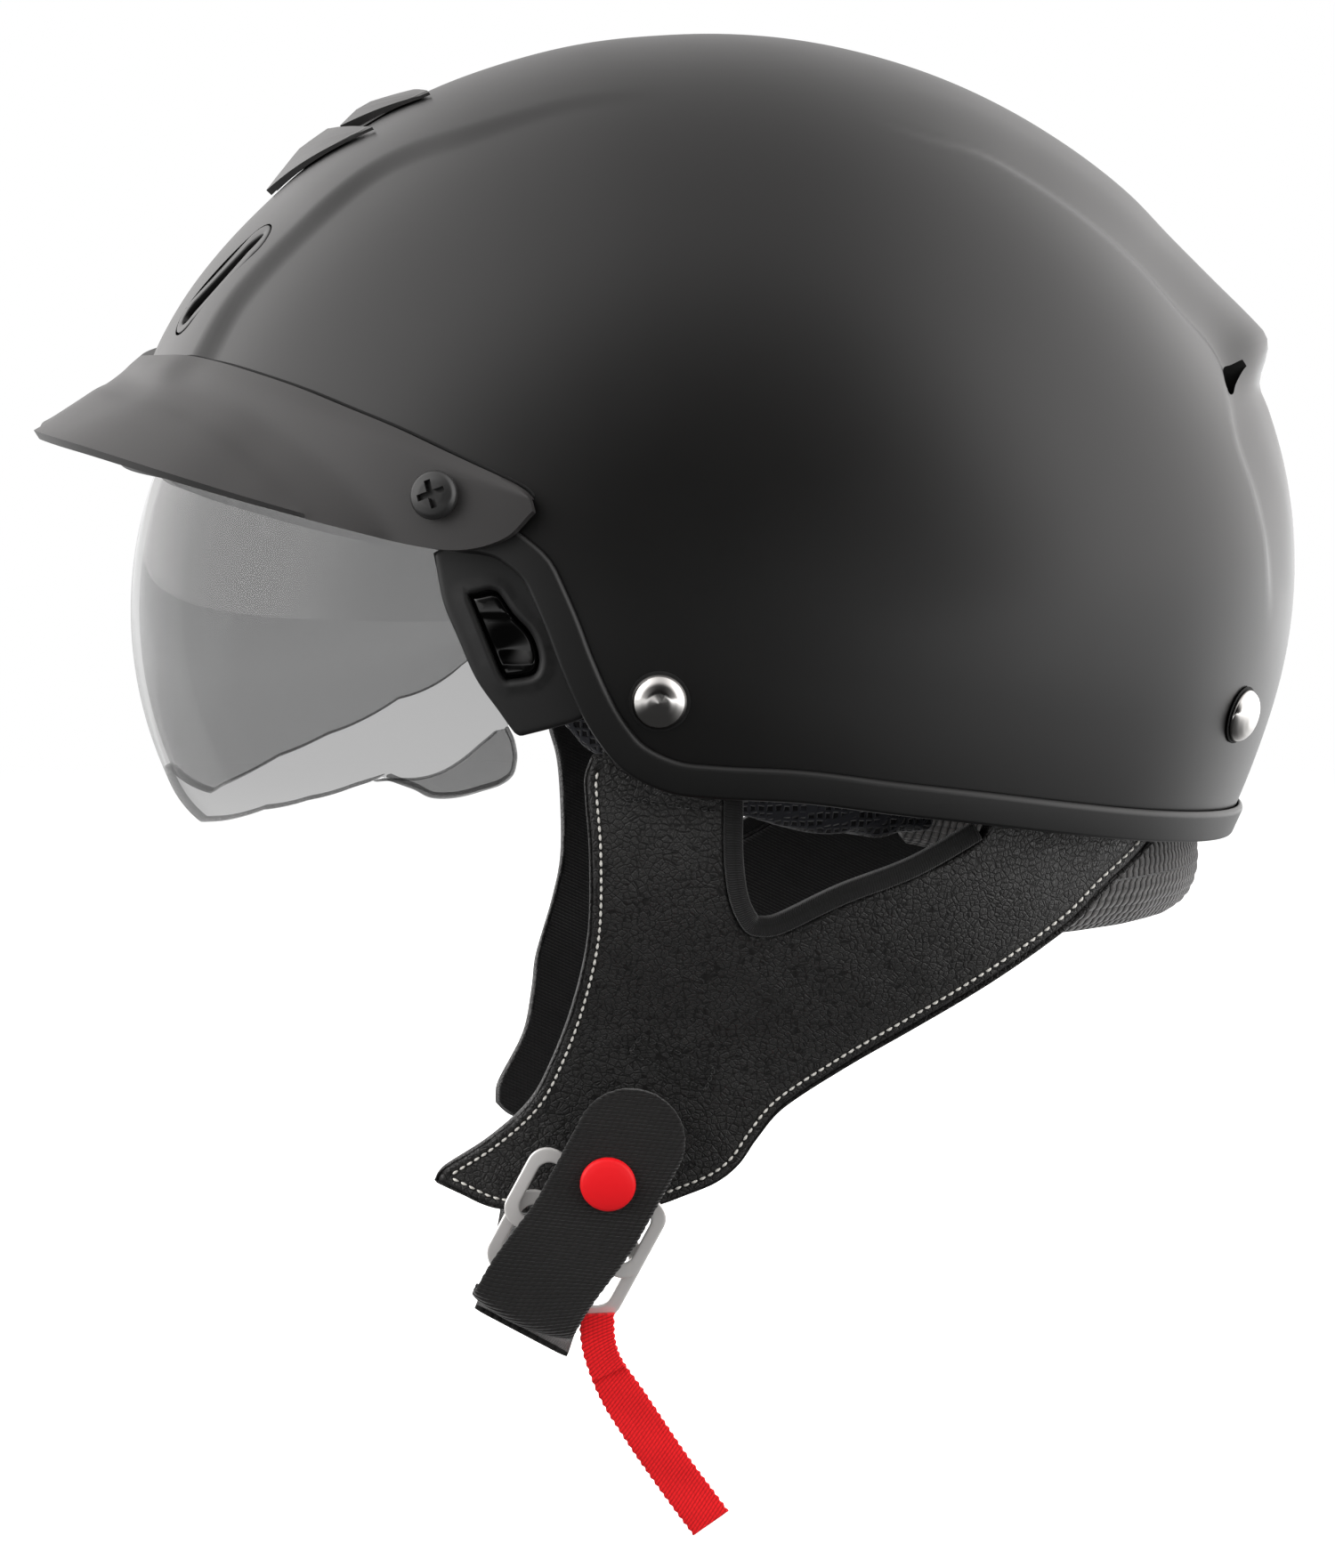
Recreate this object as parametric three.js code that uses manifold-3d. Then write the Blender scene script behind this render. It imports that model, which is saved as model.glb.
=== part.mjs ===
// Open-face half helmet with peak, drop-down sun visor and leather Y-straps.
// Millimetres, +Z up. Front of the helmet is -Y, the wearer's left is +X.
// Surfaces are laid out about the dome centre; the whole group is then lowered by SEAT_Z
// so that the origin is the centre of the crown pad's flat underside.
import * as THREE from 'three';
import Module from 'manifold-3d';

const wasm = await Module();
wasm.setup();

// ---------------------------------------------------------------- driving dimensions (mm)
const SEAT_Z = 98; // crown pad underside above the dome centre
const HALF_W = 118; // half width of the shell
const SHELL_T = 4;
const TRIM_H = 8; // edge trim height
const PIVOT_Y = -44; // sun visor pivot axis, parallel to X
const PIVOT_Z = 1;
const VISOR_R = 95.6; // visor outer radius about the pivot axis
const VISOR_HALF_W = 95.5;
const VISOR_POWER = 2.2; // superellipse exponent of the visor section
const VISOR_T = 2;
const SWEEP_R = 91.3; // space kept clear of the liner for the visor: radius and half width
const SWEEP_HALF_W = 89.3;
const PIVOT_HOLE_R = 3.7;
const CAVITY = { x: 88, y: 108, z: 112, zBelow: 170 }; // liner cavity semi-axes
const HOLE_R = 2.8; // rivet and peak screw holes
const SHANK_R = 2.4; // rivet and peak screw shanks
const RIVET_R = 6.25;
const SNAP_R = 6.5;
const WEB_T = 1.4; // chin webbing thickness
const TAIL_HALF_W = 12.7;

// ---------------------------------------------------------------- finishes
const LOOK = {
  shell: { color: 0x1b1b1c, roughness: 0.55 },
  trim: { color: 0x111111, roughness: 0.7 },
  rivet: { color: 0xd8cfc4, roughness: 0.2, metalness: 1 },
  washer: { color: 0xaaaaaa, roughness: 0.35, metalness: 1 },
  peak: { color: 0x232323, roughness: 0.6 },
  screw: { color: 0x080808, roughness: 0.25 },
  visor: { color: 0x6e7072, roughness: 0.08, transparent: true, opacity: 0.5 },
  pivot: { color: 0x777777, roughness: 0.35, metalness: 1 },
  housing: { color: 0x1d1d1d, roughness: 0.6 },
  latch: { color: 0x050505, roughness: 0.12 },
  ventBase: { color: 0x101010, roughness: 0.6 },
  vent: { color: 0x141414, roughness: 0.5 },
  intake: { color: 0x151515, roughness: 0.6 },
  exhaust: { color: 0x0a0a0a, roughness: 0.7 },
  foam: { color: 0x2a2a2a, roughness: 0.9 },
  pad: { color: 0x20242c, roughness: 0.95 },
  neckRoll: { color: 0x17171a, roughness: 0.95 },
  webbing: { color: 0x0e0e0e, roughness: 0.9 },
  leather: { color: 0x1a1a1a, roughness: 0.6 },
  lining: { color: 0x101010, roughness: 0.95 },
  tail: { color: 0x111111, roughness: 0.9 },
  snapCap: { color: 0xee1c24, roughness: 0.35 },
  snap: { color: 0xb8b8b8, roughness: 0.3, metalness: 1 },
  dRing: { color: 0xd9d4cc, roughness: 0.18, metalness: 1 },
  chinStrap: { color: 0x101010, roughness: 0.9 },
  pullTab: { color: 0xd4141c, roughness: 0.85 },
  binding: { color: 0x121212, roughness: 0.85 },
};

// ---------------------------------------------------------------- small maths
const DEG = Math.PI / 180;
const vec = (x, y, z) => new THREE.Vector3(x, y, z);
const X_AXIS = vec(1, 0, 0);
const range = (n) => [...Array(n).keys()];
const clamp = (x, low, high) => Math.min(high, Math.max(low, x));
function smooth(from, to, x) {
  const t = clamp((x - from) / (to - from), 0, 1);
  return t * t * (3 - 2 * t);
}
// piecewise linear lookup in a table of [x, value]
function linear(table, x) {
  const i = table.findIndex(([at]) => x <= at);
  if (i === 0) return table[0][1];
  if (i < 0) return table[table.length - 1][1];
  const [x0, v0] = table[i - 1];
  const [x1, v1] = table[i];
  return v0 + (v1 - v0) * (x - x0) / (x1 - x0);
}
// smooth lookup (cubic Hermite), optionally periodic
function spline(table, x, period = 0) {
  const shift = (rows, by) => rows.map(([at, value]) => [at + by, value]);
  const t = period
    ? [...shift(table.slice(-2), -period), ...table, ...shift(table.slice(0, 2), period)]
    : table;
  const last = t.length - 1;
  if (x <= t[0][0]) return t[0][1];
  if (x >= t[last][0]) return t[last][1];
  let i = 0;
  while (x > t[i + 1][0]) i++;
  const slope = (k) => {
    const a = Math.max(0, k - 1), b = Math.min(last, k + 1);
    return (t[b][1] - t[a][1]) / (t[b][0] - t[a][0]);
  };
  const h = t[i + 1][0] - t[i][0];
  const u = (x - t[i][0]) / h, u2 = u * u, u3 = u2 * u;
  return (2 * u3 - 3 * u2 + 1) * t[i][1] + (u3 - 2 * u2 + u) * h * slope(i)
    + (3 * u2 - 2 * u3) * t[i + 1][1] + (u3 - u2) * h * slope(i + 1);
}
// boundary between low, where isBelow holds, and high, where it does not
function bisect(low, high, isBelow) {
  for (let k = 0; k < 50; k++) {
    const middle = (low + high) / 2;
    if (isBelow(middle)) low = middle;
    else high = middle;
  }
  return low;
}

// ---------------------------------------------------------------- shell surface
// psi is the angle in the Y, Z plane: 0 front, 90 crown, 180 rear
// midline radius about the dome centre: [psi, radius]
const MIDLINE_R = [
  [-90, 133.5], [-60, 137], [-30, 140], [0, 143.4], [15, 145], [30, 145.2], [36, 144.4],
  [43, 143.2], [47.5, 142.5], [53.6, 141.6], [61.3, 140.9], [68.7, 140.1], [76.7, 139.6],
  [85.6, 138.9], [90, 138.8], [98.7, 138.8], [107.7, 138.9], [117, 138.7], [127.6, 138],
  [135, 137.6], [140, 137.4], [146, 137.6], [151.4, 138.2], [156.4, 139], [163.6, 140],
  [169, 140.4], [174, 139.8], [180, 138.3], [186.4, 136.4], [193, 134.2], [197.5, 133.3],
  [200.7, 132.7], [215, 131.6], [240, 131.6],
];
// raised centre band: [psi, height]
const BAND_H = [
  [8, 0], [17.5, 0.3], [24, 2.2], [30, 2.4], [36, 2.2], [43, 2], [47, 2.2], [54, 2], [61, 1.6],
  [69, 0.9], [77, 0.4], [85, 0], [103, 0], [109, 0.2], [117, 0.9], [124, 1.9], [130, 3],
  [135, 3.9], [140.2, 4.4], [146.2, 6.4], [151.4, 9.2], [153, 10], [154.4, 8.4], [156.6, 3],
  [159, 2.4], [163.6, 1.5], [169, 0.5], [174, 0], [180, 0],
];
// raised centre band: [psi, half width]
const BAND_HALF_W = [
  [20, 48], [30, 47.8], [33.6, 46.3], [40.6, 46.8], [47, 46.6], [52.6, 45.8], [57.5, 48.5],
  [62, 52.8], [68, 54.9], [73.8, 55.8], [95, 62], [112, 64], [118, 59.8], [125.5, 57.7],
  [132.6, 55], [140, 51.3], [146, 49], [151.5, 42.6], [154.5, 50], [159, 59], [163, 59.7],
  [180, 58],
];
function psiOf(y, z) {
  const psi = Math.atan2(z, -y) / DEG;
  return psi < -90 ? psi + 360 : psi;
}
const midlineRadius = (y, z) => spline(MIDLINE_R, psiOf(y, z), 360);
// cross-section exponent: rounder in front, squarer behind
function exponent(y, z) {
  const fromFront = Math.acos(clamp(-y / (Math.hypot(y, z) || 1), -1, 1)) / DEG;
  return 2.12 + 0.28 * smooth(40, 150, fromFront);
}
// radius along direction d of the plain shell, without the raised band
function baseRadius(d) {
  const length = d.length(), n = exponent(d.y, d.z);
  const x = Math.abs(d.x) / length, c = Math.hypot(d.y, d.z) / length;
  return (Math.pow(c / midlineRadius(d.y, d.z), n) + Math.pow(x / HALF_W, n)) ** (-1 / n);
}
function outerRadius(d) {
  const r = baseRadius(d), psi = psiOf(d.y, d.z);
  const x = Math.abs(d.x) / d.length() * r;
  const halfW = linear(BAND_HALF_W, psi);
  return r + Math.max(0, spline(BAND_H, psi)) * (1 - smooth(halfW - 4, halfW + 3, x));
}
// half width of the plain shell at y, z
function shellX(y, z) {
  const n = exponent(y, z), c = Math.hypot(y, z) / midlineRadius(y, z);
  return HALF_W * Math.pow(Math.max(1e-6, 1 - Math.pow(c, n)), 1 / n);
}
const onto = (p, radius, offset = 0) => p.clone().setLength(radius(p) + offset);
function normalAt(p, radius) {
  const slope = (...axis) => {
    const step = vec(...axis).multiplyScalar(0.4);
    const height = (q) => q.length() - radius(q);
    return height(p.clone().add(step)) - height(p.clone().sub(step));
  };
  return vec(slope(1, 0, 0), slope(0, 1, 0), slope(0, 0, 1)).normalize();
}
// unit direction: theta round from the front towards the left, phi up (radians)
const dirOf = (theta, phi) =>
  vec(Math.sin(theta) * Math.cos(phi), -Math.cos(theta) * Math.cos(phi), Math.sin(phi));

// ---------------------------------------------------------------- rim
// lower edge of the trim: [y, z]
const RIM_Z = [
  [-150, 36], [-138, 36], [-118, 34.8], [-110, 33], [-85, 28.3], [-65, 23], [-53.5, 21.3],
  [-49.5, 18.8], [-46.5, 15.9], [-44.6, 11.9], [-41.6, 5], [-38.6, -3], [-34.7, -11.9],
  [-30.7, -18.9], [-24.7, -26], [-14.8, -31], [-4.8, -32.4], [15.2, -33.6], [35.3, -36.4],
  [55.8, -39.3], [76.9, -42.8], [87.7, -44.7], [108.5, -48.2], [120.7, -50.3], [135, -53],
];
// column angles round the dome, front to rear on the left side, in degrees
const HALF_COLUMNS = [
  0, 10, 20, 30, 41, 51, 58, 62.5, 66, 69, 72, 76, 82, 90, 101, 114, 128, 142, 156, 168,
];
const COLUMNS = [...HALF_COLUMNS, 180, ...HALF_COLUMNS.slice(1).reverse().map((a) => 360 - a)]
  .map((a) => a * DEG);
function rimPoint(theta) {
  const pointAt = (phi) => onto(dirOf(theta, phi), baseRadius);
  return pointAt(bisect(-50 * DEG, 60 * DEG, (phi) => {
    const p = pointAt(phi);
    return p.z < spline(RIM_Z, p.y);
  }));
}
const RIM = COLUMNS.map(rimPoint);
const RIM_NORMALS = RIM.map((p) => normalAt(p, baseRadius));
// directions in the surface, up and away from the rim
const RIM_UPS = RIM.map((_, i) => {
  const next = RIM[(i + 1) % RIM.length], previous = RIM[(i + RIM.length - 1) % RIM.length];
  const along = next.clone().sub(previous).normalize();
  const up = RIM_NORMALS[i].clone().cross(along).normalize();
  return up.z + 0.3 * up.y < 0 ? up.negate() : up;
});
// point `up` from the rim along the shell and `out` from its surface, at column i
const rimOffset = (i, up, out) =>
  onto(RIM[i].clone().addScaledVector(RIM_UPS[i], up), baseRadius)
    .addScaledVector(RIM_NORMALS[i], out);
// grid over the dome from `up` above the rim to the crown; rows are fractions of the climb
const domeGrid = (rows, radius, up) => COLUMNS.map((_, i) => {
  const start = rimOffset(i, up, 0);
  const theta = Math.atan2(start.x, -start.y), phi = Math.asin(start.z / start.length());
  return rows.map((t) => onto(dirOf(theta, phi + t * (Math.PI / 2 - phi)), radius));
});

// ---------------------------------------------------------------- mesh helpers
// indexed geometry with coincident points joined and faces turned outwards
function weld(points, faces) {
  const known = new Map(), ids = [], positions = [], index = [];
  points.forEach((p, i) => {
    const key = [p.x, p.y, p.z].map((c) => `${Math.round(c * 2e3)}`).join();
    if (!known.has(key)) {
      known.set(key, positions.length / 3);
      positions.push(p.x, p.y, p.z);
    }
    ids[i] = known.get(key);
  });
  let volume = 0;
  for (const face of faces) {
    const [a, b, c] = face.map((i) => ids[i]);
    if (a === b || b === c || c === a) continue;
    index.push(a, b, c);
    const [A, B, C] = face.map((i) => points[i]);
    volume += A.dot(B.clone().cross(C));
  }
  if (volume < 0) {
    for (let i = 0; i < index.length; i += 3) {
      [index[i], index[i + 1]] = [index[i + 1], index[i]];
    }
  }
  const geometry = new THREE.BufferGeometry();
  geometry.setAttribute('position', new THREE.Float32BufferAttribute(positions, 3));
  geometry.setIndex(index);
  return geometry;
}
const quad = (a, b, c, d) => [[a, b, c], [a, c, d]];
// closed wall between two matching point grids
function sheet(outer, inner, wrap = false) {
  const ni = outer.length, nj = outer[0].length, faces = [];
  const out = (i, j) => (i % ni) * nj + j;
  const inn = (i, j) => ni * nj + out(i, j);
  const spans = wrap ? ni : ni - 1, n = nj - 1, m = ni - 1;
  for (let i = 0; i < spans; i++) {
    for (let j = 0; j < n; j++) {
      faces.push(...quad(out(i, j), out(i + 1, j), out(i + 1, j + 1), out(i, j + 1)));
      faces.push(...quad(inn(i, j), inn(i, j + 1), inn(i + 1, j + 1), inn(i + 1, j)));
    }
    faces.push(...quad(out(i, 0), inn(i, 0), inn(i + 1, 0), out(i + 1, 0)));
    faces.push(...quad(out(i, n), out(i + 1, n), inn(i + 1, n), inn(i, n)));
  }
  if (!wrap) {
    for (let j = 0; j < n; j++) {
      faces.push(...quad(out(0, j), out(0, j + 1), inn(0, j + 1), inn(0, j)));
      faces.push(...quad(out(m, j), inn(m, j), inn(m, j + 1), out(m, j + 1)));
    }
  }
  return weld([...outer.flat(), ...inner.flat()], faces);
}
// loft through equal rings of points; open ends are capped by fans about the ring's mean
function loft(rings, closed = false) {
  const n = rings.length, k = rings[0].length, points = rings.flat(), faces = [];
  const id = (i, j) => (i % n) * k + (j % k);
  for (let i = 0; i < (closed ? n : n - 1); i++) {
    for (let j = 0; j < k; j++) {
      faces.push(...quad(id(i, j), id(i + 1, j), id(i + 1, j + 1), id(i, j + 1)));
    }
  }
  if (!closed) {
    for (const end of [0, n - 1]) {
      const centre = points.length, mean = vec(0, 0, 0);
      rings[end].forEach((p) => mean.add(p));
      points.push(mean.divideScalar(k));
      for (let j = 0; j < k; j++) {
        const a = id(end, j), b = id(end, j + 1);
        faces.push(end === 0 ? [centre, a, b] : [centre, b, a]);
      }
    }
  }
  return weld(points, faces);
}
// flat strip of rectangles at stations { centre, across, normal, halfW }
const ribbon = (stations, thickness) => loft(stations.map(({ centre, across, normal, halfW }) =>
  [[-1, -1], [1, -1], [1, 1], [-1, 1]].map(([a, b]) => centre.clone()
    .addScaledVector(across, a * halfW).addScaledVector(normal, b * thickness / 2))));

const toManifold = (g) => new wasm.Manifold(new wasm.Mesh({
  numProp: 3,
  vertProperties: new Float32Array(g.attributes.position.array),
  triVerts: new Uint32Array(g.index.array),
}));
const triples = (list) => range(list.length / 3).map((i) => [...list.slice(3 * i, 3 * i + 3)]);
function fromManifold(manifold) {
  const { numProp, numVert, vertProperties, triVerts } = manifold.getMesh();
  const points = range(numVert)
    .map((i) => vec(...vertProperties.slice(numProp * i, numProp * i + 3)));
  return weld(points, triples(triVerts));
}
// three.js geometry to a welded solid
function merged(g) {
  const points = triples(g.attributes.position.array).map((p) => vec(...p));
  return weld(points, triples(g.index ? g.index.array : range(points.length)));
}
const combine = (operation) => (g, ...tools) => fromManifold(
  tools.reduce((solid, tool) => solid[operation](toManifold(tool)), toManifold(g)));
const cut = combine('subtract');
const join = combine('add');
const overlap = combine('intersect');

const frame = (origin, x, y, z) => new THREE.Matrix4().makeBasis(x, y, z).setPosition(origin);
// frame with local z along the normal and local y towards up
function frameAt(p, normal, up = vec(0, 0, 1)) {
  const z = normal.clone().normalize(), x = up.clone().cross(z).normalize();
  return frame(p, x, z.clone().cross(x), z);
}
function frameOn(p, radius, up) {
  const foot = onto(p, radius);
  return frameAt(foot, normalAt(foot, radius), up);
}
const sideFrame = (y, z) => frame(vec(0, y, z), vec(0, 1, 0), vec(0, 0, 1), X_AXIS);
const moved = (g, matrix) => g.clone().applyMatrix4(matrix);
const mirrored = (g) => merged(moved(g, new THREE.Matrix4().makeScale(-1, 1, 1)));
const bothSides = (g) => [g, mirrored(g)];

// solid of revolution about local z from [radius, z] points
const lathe = (profile, segments = 14) => merged(
  new THREE.LatheGeometry(profile.map(([r, h]) => new THREE.Vector2(r, h)), segments)
    .rotateX(Math.PI / 2));
const rod = (r, z0, z1, segments) => lathe([[0, z0], [r, z0], [r, z1], [0, z1]], segments);
const tube = (inner, outer, z0, z1, segments) =>
  lathe([[inner, z0], [outer, z0], [outer, z1], [inner, z1], [inner, z0]], segments);
// outline in local x, y extruded from z0 to z1
function prism(outline, z0, z1) {
  const shape = new THREE.Shape(outline.map(([x, y]) => new THREE.Vector2(x, y)));
  const g = new THREE.ExtrudeGeometry(shape, { depth: z1 - z0, bevelEnabled: false });
  return merged(g.translate(0, 0, z0));
}
// outline of [y, z] points swept along X from x0 to x1
const sidePrism = (outline, x0, x1) => merged(moved(prism(outline, x0, x1), sideFrame(0, 0)));
// slot outline with round ends, long along y
const stadium = (halfL, halfW) => [1, -1].flatMap((end) => range(6).map((k) => {
  const a = (end < 0 ? Math.PI : 0) + Math.PI * k / 5;
  return [halfW * Math.cos(a), end * (halfL - halfW) + halfW * Math.sin(a)];
}));
const roundedRect = (halfW, halfH, r) =>
  [[1, 1], [-1, 1], [-1, -1], [1, -1]].flatMap(([sx, sy], corner) => range(4).map((k) => {
    const a = (90 * corner + 30 * k) * DEG;
    return [sx * (halfW - r) + r * Math.cos(a), sy * (halfH - r) + r * Math.sin(a)];
  }));

// ---------------------------------------------------------------- scene graph
const part = new THREE.Group();
const dome = new THREE.Group();
dome.position.set(0, 0, -SEAT_Z);
part.add(dome);
function add(name, geometry, look) {
  geometry.computeVertexNormals();
  const material = new THREE.MeshStandardMaterial({ flatShading: true, ...look });
  const mesh = new THREE.Mesh(geometry, material);
  mesh.name = name;
  dome.add(mesh);
}
function pair(name, leftGeometry, look) {
  add(`${name}_left`, leftGeometry, look);
  add(`${name}_right`, mirrored(leftGeometry), look);
}

// ---------------------------------------------------------------- places on the shell
const RIVETS = {
  front: frameOn(vec(117.1, -16.6, -10.4), baseRadius),
  rear: frameOn(vec(64.1, 120.3, -18.9), baseRadius),
};
const SCREW = frameOn(vec(104, -64.4, 34.1), baseRadius);
// front intake slot on each side of the brow, between its two ends
const SLOT_LOW = onto(vec(26, -124.5, 67.5), outerRadius);
const SLOT_HIGH = onto(vec(34, -103, 92), outerRadius);
const SLOT = frameOn(
  SLOT_LOW.clone().add(SLOT_HIGH), outerRadius, SLOT_HIGH.clone().sub(SLOT_LOW));
const SLOT_HALF_L = SLOT_LOW.distanceTo(SLOT_HIGH) / 2;
// rear exhaust opening under the lip of the rear bump: three-cornered outline, local [x, y]
const EXHAUST = frameAt(vec(36, 121, 59.5), vec(0.46, 0.84, -0.28));
const EXHAUST_OUTLINE = [[-17, 3.6], [19.5, 2.6], [18, -4.6]];
// hole under the crown vent
const VENT_HOLE = frameAt(onto(vec(0, -90, 114), outerRadius), vec(0, -0.62, 0.78));
const ventHole = (r) => moved(rod(r, -12, 8, 12), VENT_HOLE);

// ---------------------------------------------------------------- outer shell
const SHELL_ROWS = [
  0, 0.05, 0.12, 0.22, 0.32, 0.385, 0.415, 0.433, 0.465, 0.54, 0.65, 0.77, 0.89, 1,
];
const SHELL_UP = 2.2; // bottom edge of the shell above the rim
add('outer_shell', cut(
  sheet(
    domeGrid(SHELL_ROWS, outerRadius, SHELL_UP),
    domeGrid(SHELL_ROWS, (d) => baseRadius(d) - SHELL_T, SHELL_UP), true),
  ...[RIVETS.front, RIVETS.rear, SCREW].flatMap((at) => bothSides(moved(rod(HOLE_R, -9, 6), at))),
  ...bothSides(moved(prism(stadium(SLOT_HALF_L + 0.4, 6), -10, 6), SLOT)),
  ...bothSides(moved(prism(EXHAUST_OUTLINE, -16, 14), EXHAUST)),
  ventHole(4.2)), LOOK.shell);

// ---------------------------------------------------------------- edge trim
// hooked section: [up from the rim, out from the surface]
const TRIM_SECTION = [
  [6, -5.6], [0.8, -5.6], [0, -4.6], [0, 1.0], [0.8, 1.9], [TRIM_H - 0.8, 1.9],
  [TRIM_H, 0.45], [1.5, 0.45], [1.5, -4.7], [6, -4.7],
];
add('edge_trim', loft(
  COLUMNS.map((_, i) => TRIM_SECTION.map(([up, out]) => rimOffset(i, up, out))), true), LOOK.trim);

// ---------------------------------------------------------------- rivets, washers
const RIVET_PROFILE = [ // [radius, height]
  [0, -14.4], [SHANK_R, -14.4], [SHANK_R, 0.5], [RIVET_R, 0.5], [RIVET_R, 1.2],
  [5.4, 2.4], [3.4, 3.5], [0, 3.9],
];
for (const [place, at] of Object.entries(RIVETS)) {
  pair(`rivet_${place}`, moved(lathe(RIVET_PROFILE), at), LOOK.rivet);
  pair(`rivet_washer_${place}`, moved(tube(HOLE_R, 7, -14, -12.9, 10), at), LOOK.washer);
}

// ---------------------------------------------------------------- peak
const PEAK_T = 2.4;
const PEAK_MIN_T = 2.2; // least thickness where the peak meets the shell
const PEAK_EDGES = [ // [u from centre to side, root x, y, z, brim x, y, z]
  [0, 0, -136, 63, 0, -161.5, 44.3],
  [0.1, 18, -132.5, 63.2, 24, -161, 45.6],
  [0.2, 36.8, -124.5, 63, 48.8, -155.1, 45.4],
  [0.3, 49.1, -117.5, 63.5, 66.3, -146, 43.8],
  [0.45, 67.7, -105, 60.8, 85.1, -128.9, 39.6],
  [0.6, 80, -93, 57, 95, -112, 35],
  [0.7, 88.2, -84.4, 53.6, 100, -99, 31.5],
  [0.8, 96, -73, 49, 104.3, -84.4, 27.6],
  [0.87, 101.3, -64.3, 44.8, 107, -71, 24.3],
  [0.93, 106, -54, 40, 109.5, -58.4, 22.8],
  [0.97, 109.2, -46.4, 36.6, 111.5, -49, 25.6],
  [1, 110.4, -43.6, 34.4, 111.6, -43.4, 31.2],
];
const PEAK_HALF_U = [
  -1, -0.985, -0.96, -0.93, -0.9, -0.86, -0.82, -0.77, -0.71, -0.64, -0.56, -0.48, -0.4,
  -0.32, -0.24, -0.16, -0.08,
];
const PEAK_U = [...PEAK_HALF_U, 0, ...PEAK_HALF_U.slice().reverse().map((u) => -u)];
const PEAK_V = [0, 0.12, 0.32, 0.55, 0.78, 1]; // root to brim
function peakPoint(u, v) {
  const edge = (column) => spline(PEAK_EDGES.map((row) => [row[0], row[column]]), Math.abs(u));
  const p = vec(edge(1), edge(2), edge(3)).lerp(vec(edge(4), edge(5), edge(6)), v);
  if (u < 0) p.x *= -1;
  return p;
}
// matching top and underside points; the underside is kept clear of the shell
function peakPair(u, v) {
  const top = peakPoint(u, v), e = 0.01;
  const alongU = peakPoint(Math.min(1, u + e), v).sub(peakPoint(Math.max(-1, u - e), v));
  const alongV = peakPoint(u, Math.min(1, v + e)).sub(peakPoint(u, Math.max(0, v - e)));
  const normal = alongU.cross(alongV).normalize();
  if (normal.z + normal.dot(top) / 400 < 0) normal.negate();
  const under = top.clone().addScaledVector(normal, -PEAK_T);
  const limit = outerRadius(under) + (v < 0.05 ? 0.7 : 2.6);
  if (under.length() < limit) under.setLength(limit);
  const raised = under.length() + PEAK_MIN_T;
  if (top.length() < raised && under.length() <= limit + 6) top.copy(under).setLength(raised);
  return [top, under];
}
const peakGrid = PEAK_U.map((u) => PEAK_V.map((v) => peakPair(u, v)));
const [peakTop, peakUnder] = [0, 1].map((face) =>
  peakGrid.map((column) => column.map((points) => points[face])));
add('peak', cut(
  sheet(peakTop, peakUnder), ...bothSides(moved(rod(HOLE_R, -6, 14), SCREW))), LOOK.peak);

{ // cross-slotted screw and its nut
  const headZ = 6.2;
  const blank = lathe([
    [0, -7.2], [SHANK_R, -7.2], [SHANK_R, headZ], [5.6, headZ], [5.6, headZ + 1],
    [4.6, headZ + 2.2], [2.6, headZ + 2.8], [0, headZ + 3],
  ]);
  const bar = (x, y) => merged(new THREE.BoxGeometry(x, y, 3).translate(0, 0, headZ + 2.9));
  const turned = SCREW.clone().multiply(new THREE.Matrix4().makeRotationZ(0.35));
  pair('peak_screw', moved(cut(blank, join(bar(6.4, 1.3), bar(1.3, 6.4))), turned), LOOK.screw);
  pair('peak_nut', moved(tube(HOLE_R, 4.6, -7, -4.7, 6), SCREW), LOOK.washer);
}

// ---------------------------------------------------------------- sun visor
// swept about the pivot axis; columns are distances from the centre plane
const VISOR_COLUMNS = [
  0, 8, 17, 25, 32, 42, 54, 64, 72, 79, 84, 86.2, 87.6, 88.2, 90.1, 91.2, 92, 93, 94, 95.1,
];
const VISOR_ROWS = [0, 0.12, 0.24, 0.37, 0.5, 0.62, 0.75, 0.88, 1];
// edge angles about the pivot, up from the front: [distance from centre plane, degrees]
const VISOR_LOW_LEFT = [
  [0, -23.5], [8, -24.5], [18, -27.4], [32, -31.4], [39.3, -31.7], [63.9, -33.5],
  [74.6, -36.2], [82.1, -39.5], [86.1, -42.3], [87.5, -51.3], [87.9, -57], [90.1, -69.7],
  [91.1, -76.9], [91.9, -80.7], [92.8, -80.7], [93.65, -77], [94.1, -71], [95.1, -60],
];
const VISOR_LOW_RIGHT = [
  [0, -23.5], [8, -24.5], [18, -27.4], [32, -31.4], [39.3, -31.7], [63.9, -34],
  [76, -36.9], [87.3, -42.6], [92.8, -53.3], [94.1, -58], [95.1, -60],
];
const VISOR_TOP = [
  [0, 25], [40, 25.5], [58, 27.5], [68, 30], [77, 33.5], [83, 39], [87, 46], [90.5, 55],
  [92.5, 68], [94.1, 80], [95.1, 90],
];
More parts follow.
